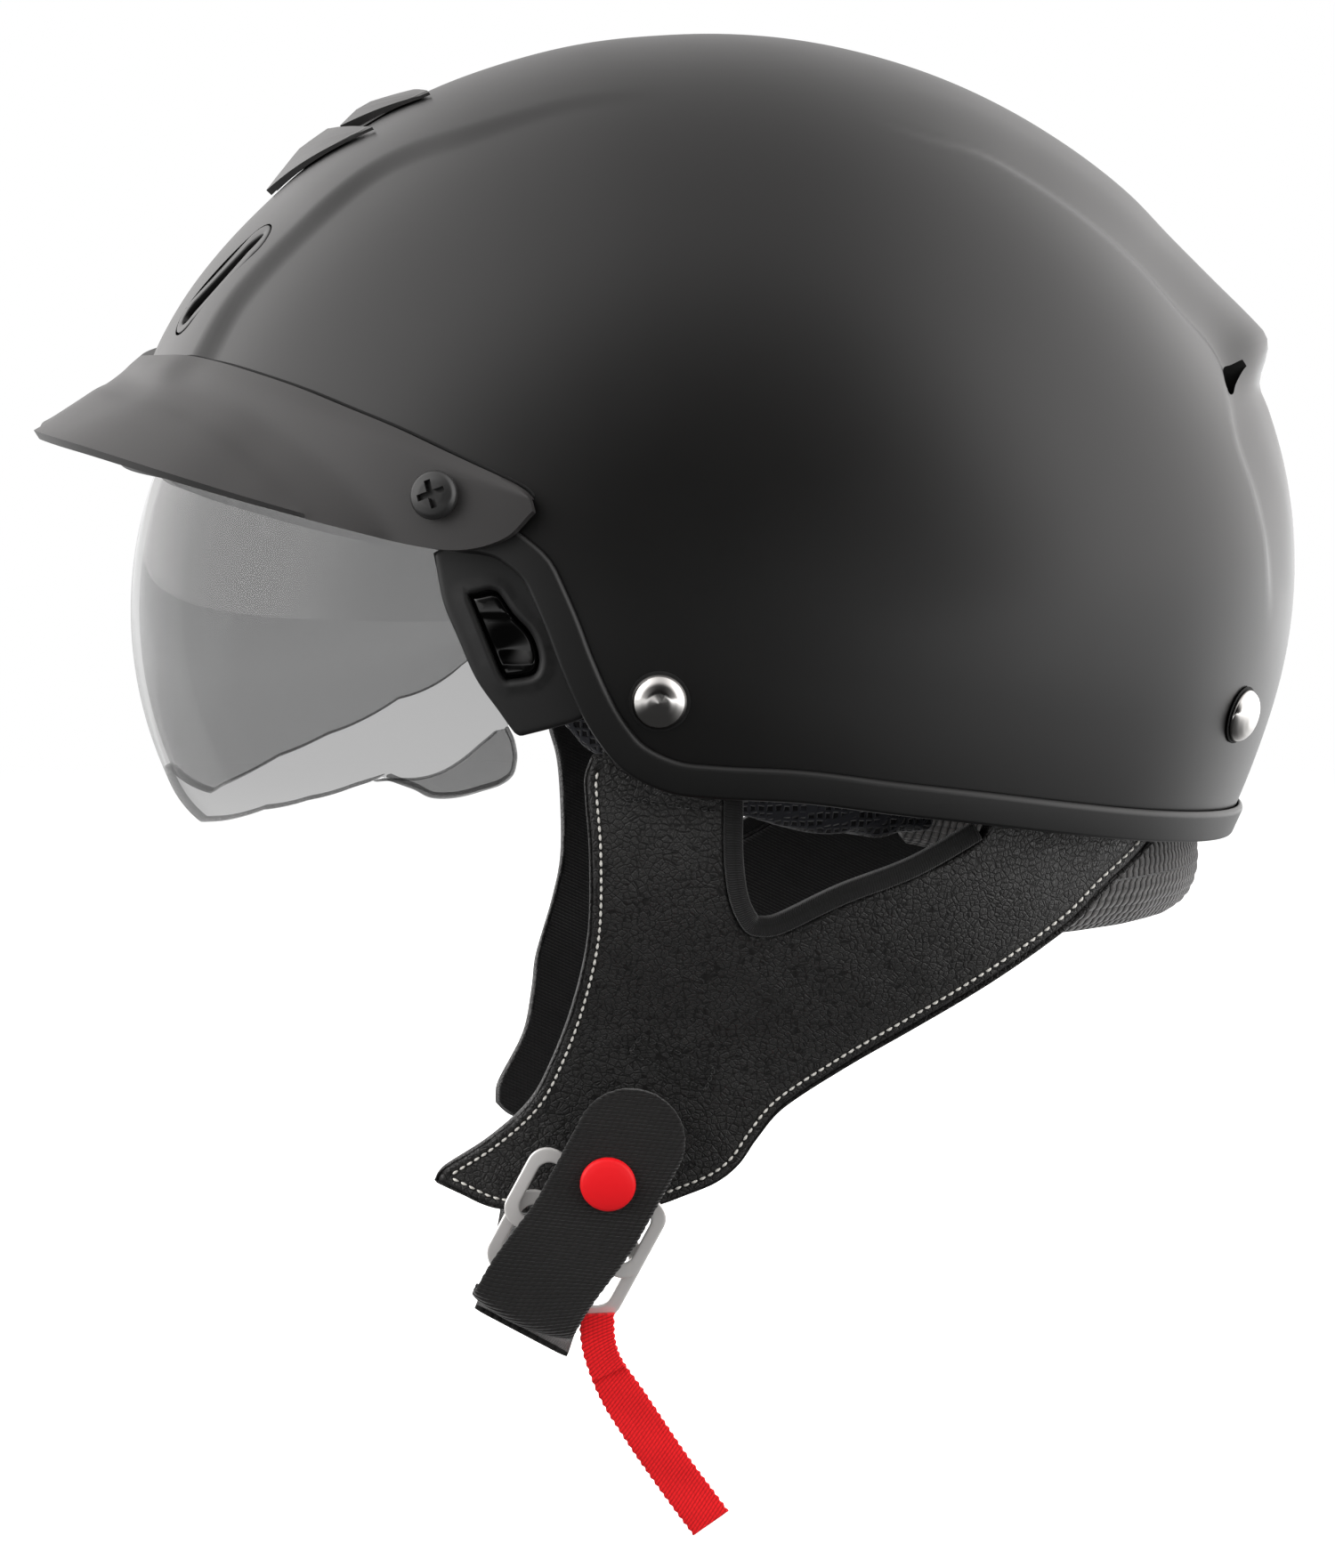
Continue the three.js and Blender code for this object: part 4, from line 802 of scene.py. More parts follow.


# name, valley colour (painted shade in the valleys), crest colour, pitch across, pitch
# along (mm), bump depth (m), twill slant, roughness, sheen
WEBBING = weave("webbing_weave", (0.0014, 0.0013, 0.0013), (0.0118, 0.0108, 0.0105),
                1.45, 1.0, 3.4e-4, 0.62)
RIBBON = weave("red_ribbon", (0.62, 0.003, 0.006), (1.0, 0.0070, 0.0120),
               1.1, 0.85, 1.8e-4, 0.5, 0.8, 0.02)
RIB_KNIT = weave("rib_knit", (0.0035, 0.0035, 0.0037), (0.085, 0.081, 0.079),
                 2.0, 2.3, 7e-4, 0.35, 0.85, 0.4)
BINDING = weave("binding_tape", (0.0015, 0.0015, 0.0015), (0.0055, 0.0055, 0.0058),
                0.7, 0.6, 1.4e-4, 0.5, 0.8)
LINING = weave("lining_knit", (0.0022, 0.0022, 0.0024), (0.0085, 0.0085, 0.009),
               0.9, 0.8, 1.6e-4, 0.5, 0.9)


def pebbled_leather():
    m = new_shader("pebbled_leather")
    at = m.coords()
    swirl = m.node("TexNoise", Vector=at, Scale=110.0, Detail=2.0)[1]
    shift = m.node("VectorMath", {"operation": "SCALE"}, _0=swirl, Scale=0.0016)[0]
    warped = m.node("VectorMath", {"operation": "ADD"}, _0=at, _1=shift)[0]
    coarse = m.cell_edge(warped, 640.0)
    fine = m.cell_edge(warped, 1350.0)
    pebble = m.times(m.ramp(coarse, 0.0, 0.17), m.ramp(fine, -0.05, 0.2, 0.55, 1.0))
    stretched = m.node("Mapping", Vector=warped, Scale=(1.0, 1.5, 0.55))[0]
    fold = m.ramp(m.noise(stretched, scale=85.0, detail=4, rough=0.55), 0.3, 0.62)
    height = m.plus(m.times(pebble, 0.75), m.times(fold, 0.55))
    worn = m.ramp(m.noise(at, scale=24.0, detail=4, rough=0.6), 0.35, 0.72)
    crest = m.mix(worn, (0.0280, 0.0273, 0.0268), (0.0325, 0.0318, 0.0311))
    # hollows between the pebbles take the darker colour: painted shade in the grain's hollows
    color = m.mix(pebble, (0.0085, 0.0080, 0.0078), crest)
    return m.principled(color, m.minus(0.60, m.times(pebble, 0.15)),
                        Normal=m.bump(height, 3.6e-4), Sheen_Weight=0.03)


LEATHER = pebbled_leather()


def thread(name, color):
    m = new_shader(name)
    at = m.coords()
    return m.principled(m.mix(m.noise(at, scale=900.0), color, scaled(color, 0.6)), 0.75,
                        specular=0.3, Normal=m.bump(m.noise(at, scale=2800.0), 1.2e-4),
                        Sheen_Weight=0.3)


WHITE_THREAD = thread("white_thread", (0.90, 0.88, 0.82))
BLACK_THREAD = thread("black_thread", (0.0012, 0.0012, 0.0012))
# kept in the palette; no piece wears it
weave("pad_edge_cloth", (0.004, 0.004, 0.005), (0.016, 0.016, 0.018), 0.9, 0.9, 1.5e-4)


# ---------------------------------------------------------------- outer shell
def dome_solid(name, rim, rows, outer, inner, material):
    """Domed wall from the rim up to a single point at each crown."""
    turn = np.arctan2(rim[:, 0], -rim[:, 1])[:, None]
    rise = np.arcsin(rim[:, 2] / length(rim))[:, None]
    d = direction(turn, rise + rows[None, :] * (math.pi / 2 - rise))
    ni, nj = d.shape[:2]
    k = ni * nj
    top = vec(0, 0, 1)
    points = np.concatenate([(d * radius(d)[..., None]).reshape(-1, 3)
                             for radius in (outer, inner)] + [[top * outer(top)],
                                                              [top * inner(top)]])
    faces = grid_faces(ni, nj, True) + grid_faces(ni, nj, True, base=k, flip=True)
    for i in range(ni):
        a, b = i * nj, (i + 1) % ni * nj
        faces += [[a, k + a, k + b, b],
                  [a + nj - 1, b + nj - 1, 2 * k],
                  [k + b + nj - 1, k + a + nj - 1, 2 * k + 1]]
    return mesh_obj(name, points, faces, material)


def stadium(half_length, half_width, n):
    a = np.linspace(0, math.pi, n + 1)
    b = a + math.pi
    straight = half_length - half_width
    return np.vstack([
        np.stack([half_width * np.cos(a), straight + half_width * np.sin(a)], -1),
        np.stack([half_width * np.cos(b), -straight + half_width * np.sin(b)], -1)])


SLOT_A, SLOT_B = onto(vec(26, -124.5, 67.5), outer_r), onto(vec(34, -103, 92), outer_r)
slot_mid = onto(SLOT_A + SLOT_B, outer_r)
slot_frame = frame_at(slot_mid, normal_at(slot_mid, outer_r), SLOT_B - SLOT_A)
slot_half = np.linalg.norm(SLOT_A - SLOT_B) / 2
# hooked hole at the rear, seen from the side: y, z
HOOK = table("""126.05 63.83, 123.69 63.07, 120.65 61.53, 119.02 60.88, 118.49 59.47,
    118.81 56.42, 119.79 54.57, 120.76 54.8, 121.61 57.07, 123.69 60.44, 125.74 62.73""")
HOOK_MIDDLE, HOOK_SCALE = vec(122.0, 59.5), 1.05
hook_axis, hook_rear = vec(0.9939, -0.0347, 0.1045), vec(0.0349, 0.9994, 0.0)
hook_frame = (vec(43, 121.4, 59.5), hook_rear, unit(np.cross(hook_axis, hook_rear)), hook_axis)
hook_line = catmull((HOOK - HOOK_MIDDLE) * HOOK_SCALE, 5, True, sharp=(0,))

shell_rows = np.concatenate([np.linspace(0, 0.9, 118), np.linspace(0.9, 1, 12)[1:-1]])
shell = dome_solid("outer_shell_v", rim_offset(2.2, 0), shell_rows, outer_r,
                   lambda d: base_r(d) - SHELL_THICK, PAINT)
carve(shell, [prism("cutter", line, -9, high, frame, mirror=mirror)
              for line, high, frame in ((stadium(slot_half + 0.4, 6.25, 14), 7, slot_frame),
                                        (hook_line, 22, hook_frame))
              for mirror in (False, True)])
put(sharpen(shell, 40), "outer_shell")

# edge trim: rubber channel with a rounded bead; section is (up from the rim, out)
TRIM_SECTION = table("""6 -5.6, 0.9 -5.6, 0 -4.4, 0 0.9, 0.6 1.9, 7.2 1.9, 8 0.45, 1.5 0.45,
    1.5 -4.7, 6 -4.7, 6 -5.6""")
trim_rings = [rim_offset(up, out) for up, out in round_corners(TRIM_SECTION, 0.9, 5)[:-1]]
trim = loft("edge_trim_v", np.stack(trim_rings, 1), RUBBER, closed=True)
put(sharpen(trim, 50), "edge_trim")

# rivets; sections are (radius, height above the shell)
RIVET = round_corners(table("""0.01 -14.4, 2.4 -14.4, 2.4 0.5, 6.25 0.5, 6.25 1.15, 5.6 2.2,
    4.4 3.05, 2.6 3.65, 0.01 3.9"""), 0.5, 3)
WASHER = round_corners(table("2.8 -14, 7 -14, 7 -12.9, 2.8 -12.9"), 0.25, 2)
GASKET = round_corners(table("2.5 0.1, 6.9 0.1, 6.9 0.34, 2.5 0.34"), 0.1, 2)
for spot, near in (("front", vec(117.1, -16.6, -10.4)), ("rear", vec(64.1, 120.3, -18.9))):
    seat = onto(near, base_r)
    frame = frame_at(seat, normal_at(seat, base_r))
    pair(lambda name: lathe(name, RIVET, frame, CHROME, 56), f"rivet_{spot}")
    pair(lambda name: lathe(name, WASHER, frame, STEEL, 40, closed=True),
         f"rivet_washer_{spot}")
    pair(lambda name: lathe(name, GASKET, frame, RECESS_AND_SHADOW, 48, closed=True),
         f"rivet_gasket_{spot}", replace=False)

# ---------------------------------------------------------------- peak
# share from the middle (0) to the end (1); rear edge x y z; front lip x y z
PEAK_EDGES = table("""0 0 -136 63 0 -161.5 44.3,
    0.1 18 -132.5 63.2 24 -161 45.6,
    0.2 36.8 -124.5 63 48.8 -155.1 45.4,
    0.3 49.1 -117.5 63.5 66.3 -146 43.8,
    0.45 67.7 -105 60.8 85.1 -128.9 39.6,
    0.6 80 -93 57 95 -112 35,
    0.7 88.2 -84.4 53.6 100 -99 31.5,
    0.8 96 -73 49 104.3 -84.4 27.6,
    0.87 101.3 -64.3 44.8 107 -71 24.3,
    0.93 106 -54 40 109.5 -58.4 22.8,
    0.97 109.2 -46.4 36.6 111.5 -49 25.6,
    1 110.4 -43.6 34.4 111.6 -43.4 31.2""")
PEAK_THICK, PEAK_LEAST = 2.4, 2.2


def peak_at(share, depth):
    """share -1..1 from end to end, depth 0..1 from the rear edge to the lip."""
    edge = [spline(PEAK_EDGES[:, (0, k)], np.abs(share)) for k in range(1, 7)]
    p = np.stack([edge[k] + (edge[k + 3] - edge[k]) * depth for k in range(3)], -1)
    p[..., 0] *= np.sign(share)
    return p


def relax(grid, times):
    """Evens out a grid in place, leaving its lip and ends."""
    for _ in range(times):
        grid[1:-1, 1:-1] = (grid[1:-1, 1:-1] * 4 + grid[:-2, 1:-1] + grid[2:, 1:-1]
                            + grid[1:-1, :-2] + grid[1:-1, 2:]) / 8
        grid[1:-1, 0] = (grid[:-2, 0] + 2 * grid[1:-1, 0] + grid[2:, 0]) / 4
    return grid


share, depth = np.meshgrid(np.sin(np.linspace(-math.pi / 2, math.pi / 2, 181)),
                           np.linspace(0, 1, 25), indexing="ij")
upper = peak_at(share, depth)
normals = unit(np.cross(
    peak_at(np.clip(share + .01, -1, 1), depth) - peak_at(np.clip(share - .01, -1, 1), depth),
    peak_at(share, np.clip(depth + .01, 0, 1)) - peak_at(share, np.clip(depth - .01, 0, 1))))
normals[normals[..., 2] + (normals * upper).sum(-1) / 400 < 0] *= -1
lower = upper - normals * PEAK_THICK
# both faces are pushed clear of the shell
clear = np.maximum(outer_r(lower), base_r(lower)) + np.where(depth < 0.05, 0.7, 2.6)
lower = np.where((length(lower) < clear)[..., None], unit(lower) * clear[..., None], lower)
least = length(lower) + PEAK_LEAST
reach = length(upper)
lifted = unit(lower) * np.maximum(reach, least)[..., None]
low = (reach < least) & (length(lower) <= clear + 6) & (length(lifted) > reach)
upper = relax(np.where(low[..., None], lifted, upper), 8)
lower = relax(lower, 8)
peak = sheet("peak_v", upper, lower, PEAK_PLASTIC)
bevel(peak, width=0.0006, segments=3, degrees=50)
put(sharpen(peak, 50), "peak")

# dark line on the shell along the rear edge: a painted shadow, a dark bead where the peak's edge
# shades the shell
rearward = unit(onto(upper[2:-2, 0], outer_r) - onto(upper[2:-2, 2], outer_r))
shadow_line = onto(upper[2:-2, 0] + rearward * 0.55, outer_r, 0.12)
put(bead("peak_rear_painted_shadow", shadow_line, normal_at(shadow_line, outer_r), 0.42, 0.22, RECESS_AND_SHADOW))

SCREW_LIFT = 6.2  # underside of the head above the plain form
SCREW_SECTION = [[0.01, -7.2], [2.4, -7.2], [2.4, SCREW_LIFT], [5.6, SCREW_LIFT],
                 [5.6, SCREW_LIFT + 1.1], [4.9, SCREW_LIFT + 2.2], [3.0, SCREW_LIFT + 2.8],
                 [0.01, SCREW_LIFT + 3]]
screw_seat = onto(vec(104, -64.4, 34.1), base_r)
screw_frame = frame_at(screw_seat, normal_at(screw_seat, base_r))


def screw(name):
    """Domed head with a cross recess turned by 0.35 rad."""
    obj = lathe(name, round_corners(SCREW_SECTION, 0.45, 4), screw_frame, SCREW, 56)
    origin, x, y, z = screw_frame
    c, s = math.cos(0.35), math.sin(0.35)
    cross = (origin, x * c + y * s, -x * s + y * c, z)
    carve(obj, [prism("cutter", [[-a, -b], [a, -b], [a, b], [-a, b]], SCREW_LIFT + 1.0,
                      SCREW_LIFT + 5, cross) for a, b in ((3.3, 0.75), (0.75, 3.3))])
    return sharpen(obj, 40)


pair(screw, "peak_screw")
for node in ("peak_nut_left", "peak_nut_right", "visor_pivot_left", "visor_pivot_right",
             "snap_socket", "snap_stud"):
    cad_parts[node].data.materials.clear()
    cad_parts[node].data.materials.append(STEEL)

# ---------------------------------------------------------------- sun visor
# barrel-shaped lens about an axis along X through (VISOR_Y, VISOR_Z)
VISOR_Y, VISOR_Z = -44.0, 1.0
VISOR_R, VISOR_W, VISOR_POWER, VISOR_THICK = 95.6, 95.5, 2.2, 2.0
VISOR_COLUMNS = [0, 8, 17, 25, 32, 42, 54, 64, 72, 79, 84, 86.2, 87.6, 88.2, 90.1, 91.2, 92,
                 93, 94, 95.1]
# edges of the lens: distance from the middle, angle above straight ahead (deg)
LOW_LEFT = table("""0 -23.5, 8 -24.5, 18 -27.4, 32 -31.4, 39.3 -31.7, 63.9 -33.5, 74.6 -36.2,
    82.1 -39.5, 86.1 -42.3, 87.5 -51.3, 87.9 -57, 90.1 -69.7, 91.1 -76.9, 91.9 -80.7,
    92.8 -80.7, 93.65 -77, 94.1 -71, 95.1 -60""")
LOW_RIGHT = table("""0 -23.5, 8 -24.5, 18 -27.4, 32 -31.4, 39.3 -31.7, 63.9 -34, 76 -36.9,
    87.3 -42.6, 92.8 -53.3, 94.1 -58, 95.1 -60""")
VISOR_TOP = table("""0 25, 40 25.5, 58 27.5, 68 30, 77 33.5, 83 39, 87 46, 90.5 55, 92.5 68,
    94.1 80, 95.1 90""")
TAB_RIM = table("""86.1 -42.6, 87.3 -50.5, 87.75 -57, 90.1 -69.4, 91.1 -76.3, 91.9 -80,
    92.8 -80, 93.55 -76.8, 94 -71""")
TAB_LINE = table("""84.8 -41.3, 86.6 -44.5, 88.4 -50, 90 -54.5, 91.6 -58.4, 92.9 -62,
    93.8 -66.5""")


def lens_radius(across, radius):
    return radius * (1 - (across / VISOR_W) ** VISOR_POWER) ** (1 / VISOR_POWER)


def lens_low(x):
    return np.where(x >= 0, linear(LOW_LEFT, np.abs(x)), linear(LOW_RIGHT, np.abs(x)))


def visor_points(column, v, thinner):
    """Lens surface, v 0..1 from the lower edge to the top."""
    a = np.abs(column)
    r = lens_radius(a, VISOR_R - thinner)
    low = lens_low(column)
    angle = np.radians(low + (linear(VISOR_TOP, a) - low) * v)
    return np.stack([np.sign(column) * (a * (VISOR_W - thinner) / VISOR_W),
                     VISOR_Y - r * np.cos(angle), VISOR_Z + r * np.sin(angle)], -1)


def on_lens(across, degrees):
    """Point and normal on the outside of the lens, +X half."""
    angle = np.radians(degrees)
    r = lens_radius(across, VISOR_R)
    p = np.stack([across, VISOR_Y - r * np.cos(angle), VISOR_Z + r * np.sin(angle)], -1)
    y, z = p[..., 1] - VISOR_Y, p[..., 2] - VISOR_Z
    r = np.hypot(y, z)
    gx = (np.abs(p[..., 0]) / VISOR_W) ** (VISOR_POWER - 1) / VISOR_W
    gr = (r / VISOR_R) ** (VISOR_POWER - 1) / VISOR_R
    r = np.maximum(r, 1e-6)
    return p, unit(np.stack([gx, gr * y / r, gr * z / r], -1))


half = []
for a, b in zip(VISOR_COLUMNS[:-1], VISOR_COLUMNS[1:]):
    parts = max(2, int((b - a) / 2.0)) if b < 84 else 4
    half += list(np.linspace(a, b, parts + 1)[:-1])
half = np.array(half + VISOR_COLUMNS[-1:])
column, v = np.meshgrid(
    np.concatenate([-half[1:][::-1], half]),
    np.concatenate([np.linspace(0, 0.06, 4), np.linspace(0.06, 1, 30)[1:]]), indexing="ij")
lens = sheet("sun_visor_v", visor_points(column, v, 0), visor_points(column, v, VISOR_THICK),
             LENS)
bevel(lens, width=0.0005, segments=2, degrees=60)
put(lens, "sun_visor", "sun_visor")

# tab on the wearer's left: moulded rim, line and thicker face between them
tab_rim, tab_line = trace(TAB_RIM, 8, 0.25), trace(TAB_LINE, 8, 0.25)
for part, path, lift, half_width, half_height in (("rim", tab_rim, -0.95, 0.55, 1.45),
                                                  ("line", tab_line, 0.12, 0.34, 0.26)):
    p, n = on_lens(path[:, 0], path[:, 1])
    put(bead(f"visor_tab_{part}", p + n * lift, n, half_width, half_height, LENS_EDGE),
        body="sun_visor")
line, rim = (along(np.linspace(0, 1, 60), np.linspace(0, 1, len(path)), path)
             for path in (tab_line, tab_rim))
face = line[:, None] + (rim - line)[:, None] * np.linspace(0.02, 0.98, 16)[None, :, None]
p, n = on_lens(face[..., 0], face[..., 1])
put(sheet("visor_tab_face", p + n * 0.32, p + n * 0.06, LENS_TAB), body="sun_visor")

# polished lower edge of the lens
column = np.linspace(-93.5, 86.0, 260)
p, n = on_lens(np.abs(column), lens_low(column) + 0.35)
p[:, 0] *= np.sign(column)
n[:, 0] *= np.sign(column)
put(bead("visor_lens_edge", p - n * 1.0, n, 0.30, 1.10, LENS_EDGE), body="sun_visor")

# ---------------------------------------------------------------- visor housings and latches
# outlines seen from the side: y, z
HOUSING_LINE = table("""-67 21.5, -66.4 18.5, -64.8 10.4, -61.5 2.4, -57.5 -6.6, -52.5 -13.7,
    -48.9 -18.7, -47.5 -19.5, -36.5 -16.4, -33 -15, -31 5, -33 20, -44 26, -60 26""")
WINDOW = table("""-59 12.3, -54.2 13.6, -52.4 12.9, -49.2 8.4, -45.6 4.6, -43.9 1.2,
    -43.3 -2.6, -44.8 -5.6, -50.9 -6.8, -52 -5.2""")
window_line = catmull(WINDOW, 8, True, sharp=(0, 1, 8))


def side_on(p, h):
    return np.stack([h, p[:, 0], p[:, 1]], -1)


def shrunk(outline, k):
    """Each point moved k towards the middle."""
    c = outline.mean(0)
    reach = length(outline - c)[:, None]
    return c + (outline - c) * (reach - k) / reach


def housing(name):
    def top(p, d):
        lip = 0.45 * np.exp(-((dist_to(p, window_line) - 1.4) / 0.8) ** 2)
        return base_x(p[:, 0], p[:, 1]) - 6.9 + rounded(1.1)(d) + lip
    outline = catmull(HOUSING_LINE, 8, True, sharp=(0, 7, 9, 13))
    return sharpen(slab(name, outline, top, flat(98.2), HOUSING, side_on, step=1.3, edge=0.7,
                        rings=(0.12, 0.35, 0.7, 1.1, 1.7), holes=[window_line]), 50)


def housing_floor(name):
    return slab(name, shrunk(window_line, -0.6), flat(98.85), flat(98.3), RECESS_AND_SHADOW, side_on,
                step=2.5, edge=1.5, rings=(0.5,))


def latch(name):
    def top(p, d):
        y, z = p[:, 0], p[:, 1]
        # thumb dish with a step above and below it
        dish = (-1.5 * np.exp(-(((z - 0.5) / 4.2) ** 2 + ((y + 49.5) / 5.0) ** 2))
                + 0.7 * ease(7.2, 8.4, z) - 0.5 * ease(-3.2, -4.4, z))
        return np.maximum(base_x(y, z) - 7.7 + rounded(0.9)(d) + dish, 100.9)
    outline = catmull(shrunk(WINDOW, 0.85), 8, True, sharp=(0, 1, 8))
    return sharpen(slab(name, outline, top, flat(100.6), GLOSS, side_on, step=0.7, edge=0.5,
                        rings=(0.1, 0.3, 0.6, 0.9)), 55)


pair(housing, "visor_housing")
pair(housing_floor, "visor_housing_floor", replace=False)
pair(latch, "visor_latch", ("latch_left", "latch_right"))


# ---------------------------------------------------------------- crown vent
def chevron(name, front_mid, front_tip, rear_mid, rear_tip, profile):
    """Swept-wing plate on the crown; profile is (front-to-rear share, height) mid-plate."""
    u = np.linspace(0, 1, 31)
    u, v = np.meshgrid(np.concatenate([-u[1:][::-1], u]),
                       np.unique(np.concatenate([np.linspace(0, 1, 25),
                                                 [row[0] for row in profile]])),
                       indexing="ij")
    a = np.abs(u)

    def edge(mid, tip):
        return np.stack([mid[k] + (tip[k] - mid[k]) * (a if k == 0 else a ** 1.08)
                         for k in range(3)], -1)

    front = edge(front_mid, front_tip)
    p = front + (edge(rear_mid, rear_tip) - front) * v[..., None]
    p[..., 0] = np.where(u < 0, -p[..., 0], p[..., 0])
    base = np.where((a > 0.955) | (v < 0.03), 0.45, 1.1)
    tip_height = 0.85 + 0.35
    mid = linear(profile, v)
    h = mid + (tip_height - mid) * np.clip(a / 0.98, 0, 1) ** 0.9
    h = np.maximum(h, base + 0.4)
    obj = sheet(name, onto(p, outer_r, h), onto(p, outer_r, base), VENT)
    bevel(obj, width=0.00025, segments=2, degrees=45)
    return sharpen(obj, 24)


put(chevron("crown_vent_slider_v", (0, -106.4, 101.4), (24, -83.4, 116.6),
            (0, -91.8, 116.2), (25.4, -81.8, 117.9),
            [(0, 2.2), (0.34, 3.3), (0.60, 4.4), (1, 4.3)]),
    "crown_vent_slider", "vent_slider")
put(chevron("crown_vent_scoop_v", (0, -89.6, 117.8), (19.6, -70.4, 125.2),
            (0, -71.5, 125.8), (20.4, -68.4, 126.3),
            [(0, 3.2), (0.28, 4.3), (0.48, 4.2), (1, 1.9)]),
    "crown_vent_scoop")
BASE_HALF, BASE_FRONT, BASE_REAR = 10.9, -105.0, -69.0
u, v = np.meshgrid(np.linspace(-1, 1, 41), np.linspace(0, 1, 41), indexing="ij")
y = BASE_FRONT + 23 * np.abs(u * BASE_HALF / 24) ** 1.08
y = y + (BASE_REAR - y) * v
p = np.stack([u * BASE_HALF, y, 101.6 + (y + 106.4) * 0.62], -1)
put(sheet("crown_vent_base_v", onto(p, outer_r, 0.66 - 0.15 * (np.abs(u) ** 12)),
          onto(p, outer_r, 0.25), VENT), "crown_vent_base")

# ---------------------------------------------------------------- intakes and exhausts
# intake frame section: share from the outer to the inner outline, height off the shell
INTAKE_SECTION = table("""0 -2.6, 0 0, 0.05 0.10, 0.14 0.14, 0.45 0.10, 0.85 0, 0.96 -0.10,
    1 -0.45, 1.02 -1.6, 1.02 -3.6, 0.55 -3.6""")
INTAKE_HALF = 5.82


def intake(name):
    outer = stadium(slot_half - 0.02, INTAKE_HALF, 18)
    y = outer[:, 1]
    # the opening narrows towards the crown
    wedge = 3.55 - 2.05 * (y * 0.9 + slot_half) / (2 * slot_half)
    inner = np.stack([outer[:, 0] / INTAKE_HALF * wedge, y * (slot_half - 2.3) / slot_half],
                     -1)
    loops = []
    for t, h in INTAKE_SECTION:
        p = onto(place(at_height(outer + (inner - outer) * t, 0.0), slot_frame), outer_r)
        loops.append(p + normal_at(p, outer_r) * h)
    rings = np.stack(loops, 1)
    return sharpen(loft(name, rings, PAINT, closed=True), 60)


# near-black floor closing each intake slot: painted shade of the slot's depth
def intake_floor(name):
    return prism(name, stadium(slot_half + 0.2, 6.1, 12), -5.4, -4.0, slot_frame, PIT_SHADE)


# triangular back plate of the exhaust opening, shrunk about a point
EXHAUST, EXHAUST_MIDDLE = table("-17 3.6, 19.5 2.6, 18 -4.6"), vec(6.8, 0.5)
VANE_PITCH, VANE_THICK = 4.2, 0.7


def exhaust(name):
    out = unit(vec(0.46, 0.84, -0.28))
    frame = frame_at(vec(36, 121, 59.5) - out * 3.4, out)
    plate = EXHAUST_MIDDLE + (EXHAUST - EXHAUST_MIDDLE) * 0.94
    points, faces = prism_data(plate, -7.2, -5.6, frame)
    for x in np.arange(-8, 18, VANE_PITCH):  # guide vanes behind the opening
        high = 2.9 - (x + 17) * 0.02
        low = 3.6 - (x + 17) * 0.232
        if high - low < 1.2:
            continue
        x2 = x + VANE_THICK
        vane, quads = prism_data([[x, low], [x2, low], [x2, high], [x, high]],
                                 -5.7, -3.2, frame)
        faces += [[len(points) + i for i in quad] for quad in quads]
        points = np.vstack([points, vane])
    return mesh_obj(name, points, faces, RECESS_AND_SHADOW, smooth=False)


pair(intake, "intake_frame")
pair(intake_floor, "intake_floor", replace=False)
pair(exhaust, "exhaust_grille")

# ---------------------------------------------------------------- foam liner
CAVITY = (88.0, 108.0, 112.0)      # half width, half length, height above the centre
CAVITY_BELOW = 170                 # half height used below the centre
POCKET_R, POCKET_W = 91.1, 89.1    # room for the raised visor
SIDE_LIMIT, PIVOT_LIMIT = 96.3, 90.2  # greatest |x| beside the housings and the pivots


def cavity_r(d):
    reach = length(d)
    height = np.where(d[..., 2] > 0, CAVITY[2], CAVITY_BELOW)
    return 1 / np.sqrt((d[..., 0] / reach / CAVITY[0]) ** 2
                       + (d[..., 1] / reach / CAVITY[1]) ** 2
                       + (d[..., 2] / reach / height) ** 2)


def liner_r(d):
    reach = length(d)
    base = base_r(d)
    z = d[..., 2] / reach * base
    r = base - 6.0 - 9.7 * (1 - ease(4, 26, z))
    u = d / reach[..., None]
    # radius at which the direction leaves the visor pocket
    low, high = np.full(reach.shape, 40.0), np.full(reach.shape, 150.0)
    for _ in range(30):
        mid = (low + high) / 2
        p = u * mid[..., None]
        f = ((np.hypot(p[..., 1] - VISOR_Y, p[..., 2] - VISOR_Z) / POCKET_R) ** VISOR_POWER
             + (np.abs(p[..., 0]) / POCKET_W) ** VISOR_POWER - 1)
        low, high = np.where(f < 0, mid, low), np.where(f < 0, high, mid)
    p = u * low[..., None]
    angle = np.degrees(np.arctan2(p[..., 2] - VISOR_Z, -(p[..., 1] - VISOR_Y)))
    top = np.maximum(80, linear(VISOR_TOP, np.abs(p[..., 0]) * VISOR_W / POCKET_W) + 55)
    w = 1 - ease(top, top + 9, angle)
    r = np.where(low < r, r * (1 - w) + low * w, r)
    dx = np.maximum(np.abs(d[..., 0]) / reach, 1e-6)
    q = u * np.minimum(r, SIDE_LIMIT / np.maximum(dx, 0.3))[..., None]
    w_side = (1 - ease(-26, -16, q[..., 1])) * (1 - ease(30, 40, q[..., 2]))
    w_pivot = 1 - ease(22, 30, np.hypot(q[..., 1] - VISOR_Y, q[..., 2] - VISOR_Z))
    for limit, w in ((SIDE_LIMIT, w_side), (PIVOT_LIMIT, w_pivot)):
        r = np.where(limit / dx < r, r * (1 - w) + w * limit / dx, r)
    return np.maximum(r, cavity_r(d) + 3)


liner = dome_solid("eps_liner_v", rim_offset(14, 0)[::3], np.linspace(0, 1, 56)[:-1], liner_r,
                   cavity_r, FOAM)
put(sharpen(liner, 50), "eps_liner")

# ---------------------------------------------------------------- pads
PAD_VOXEL, PAD_SHRINK, PAD_TRAVEL = 3.4, 1.0, 2.2
PAD_PRESSURE, PAD_FRAMES = 4.0, 16


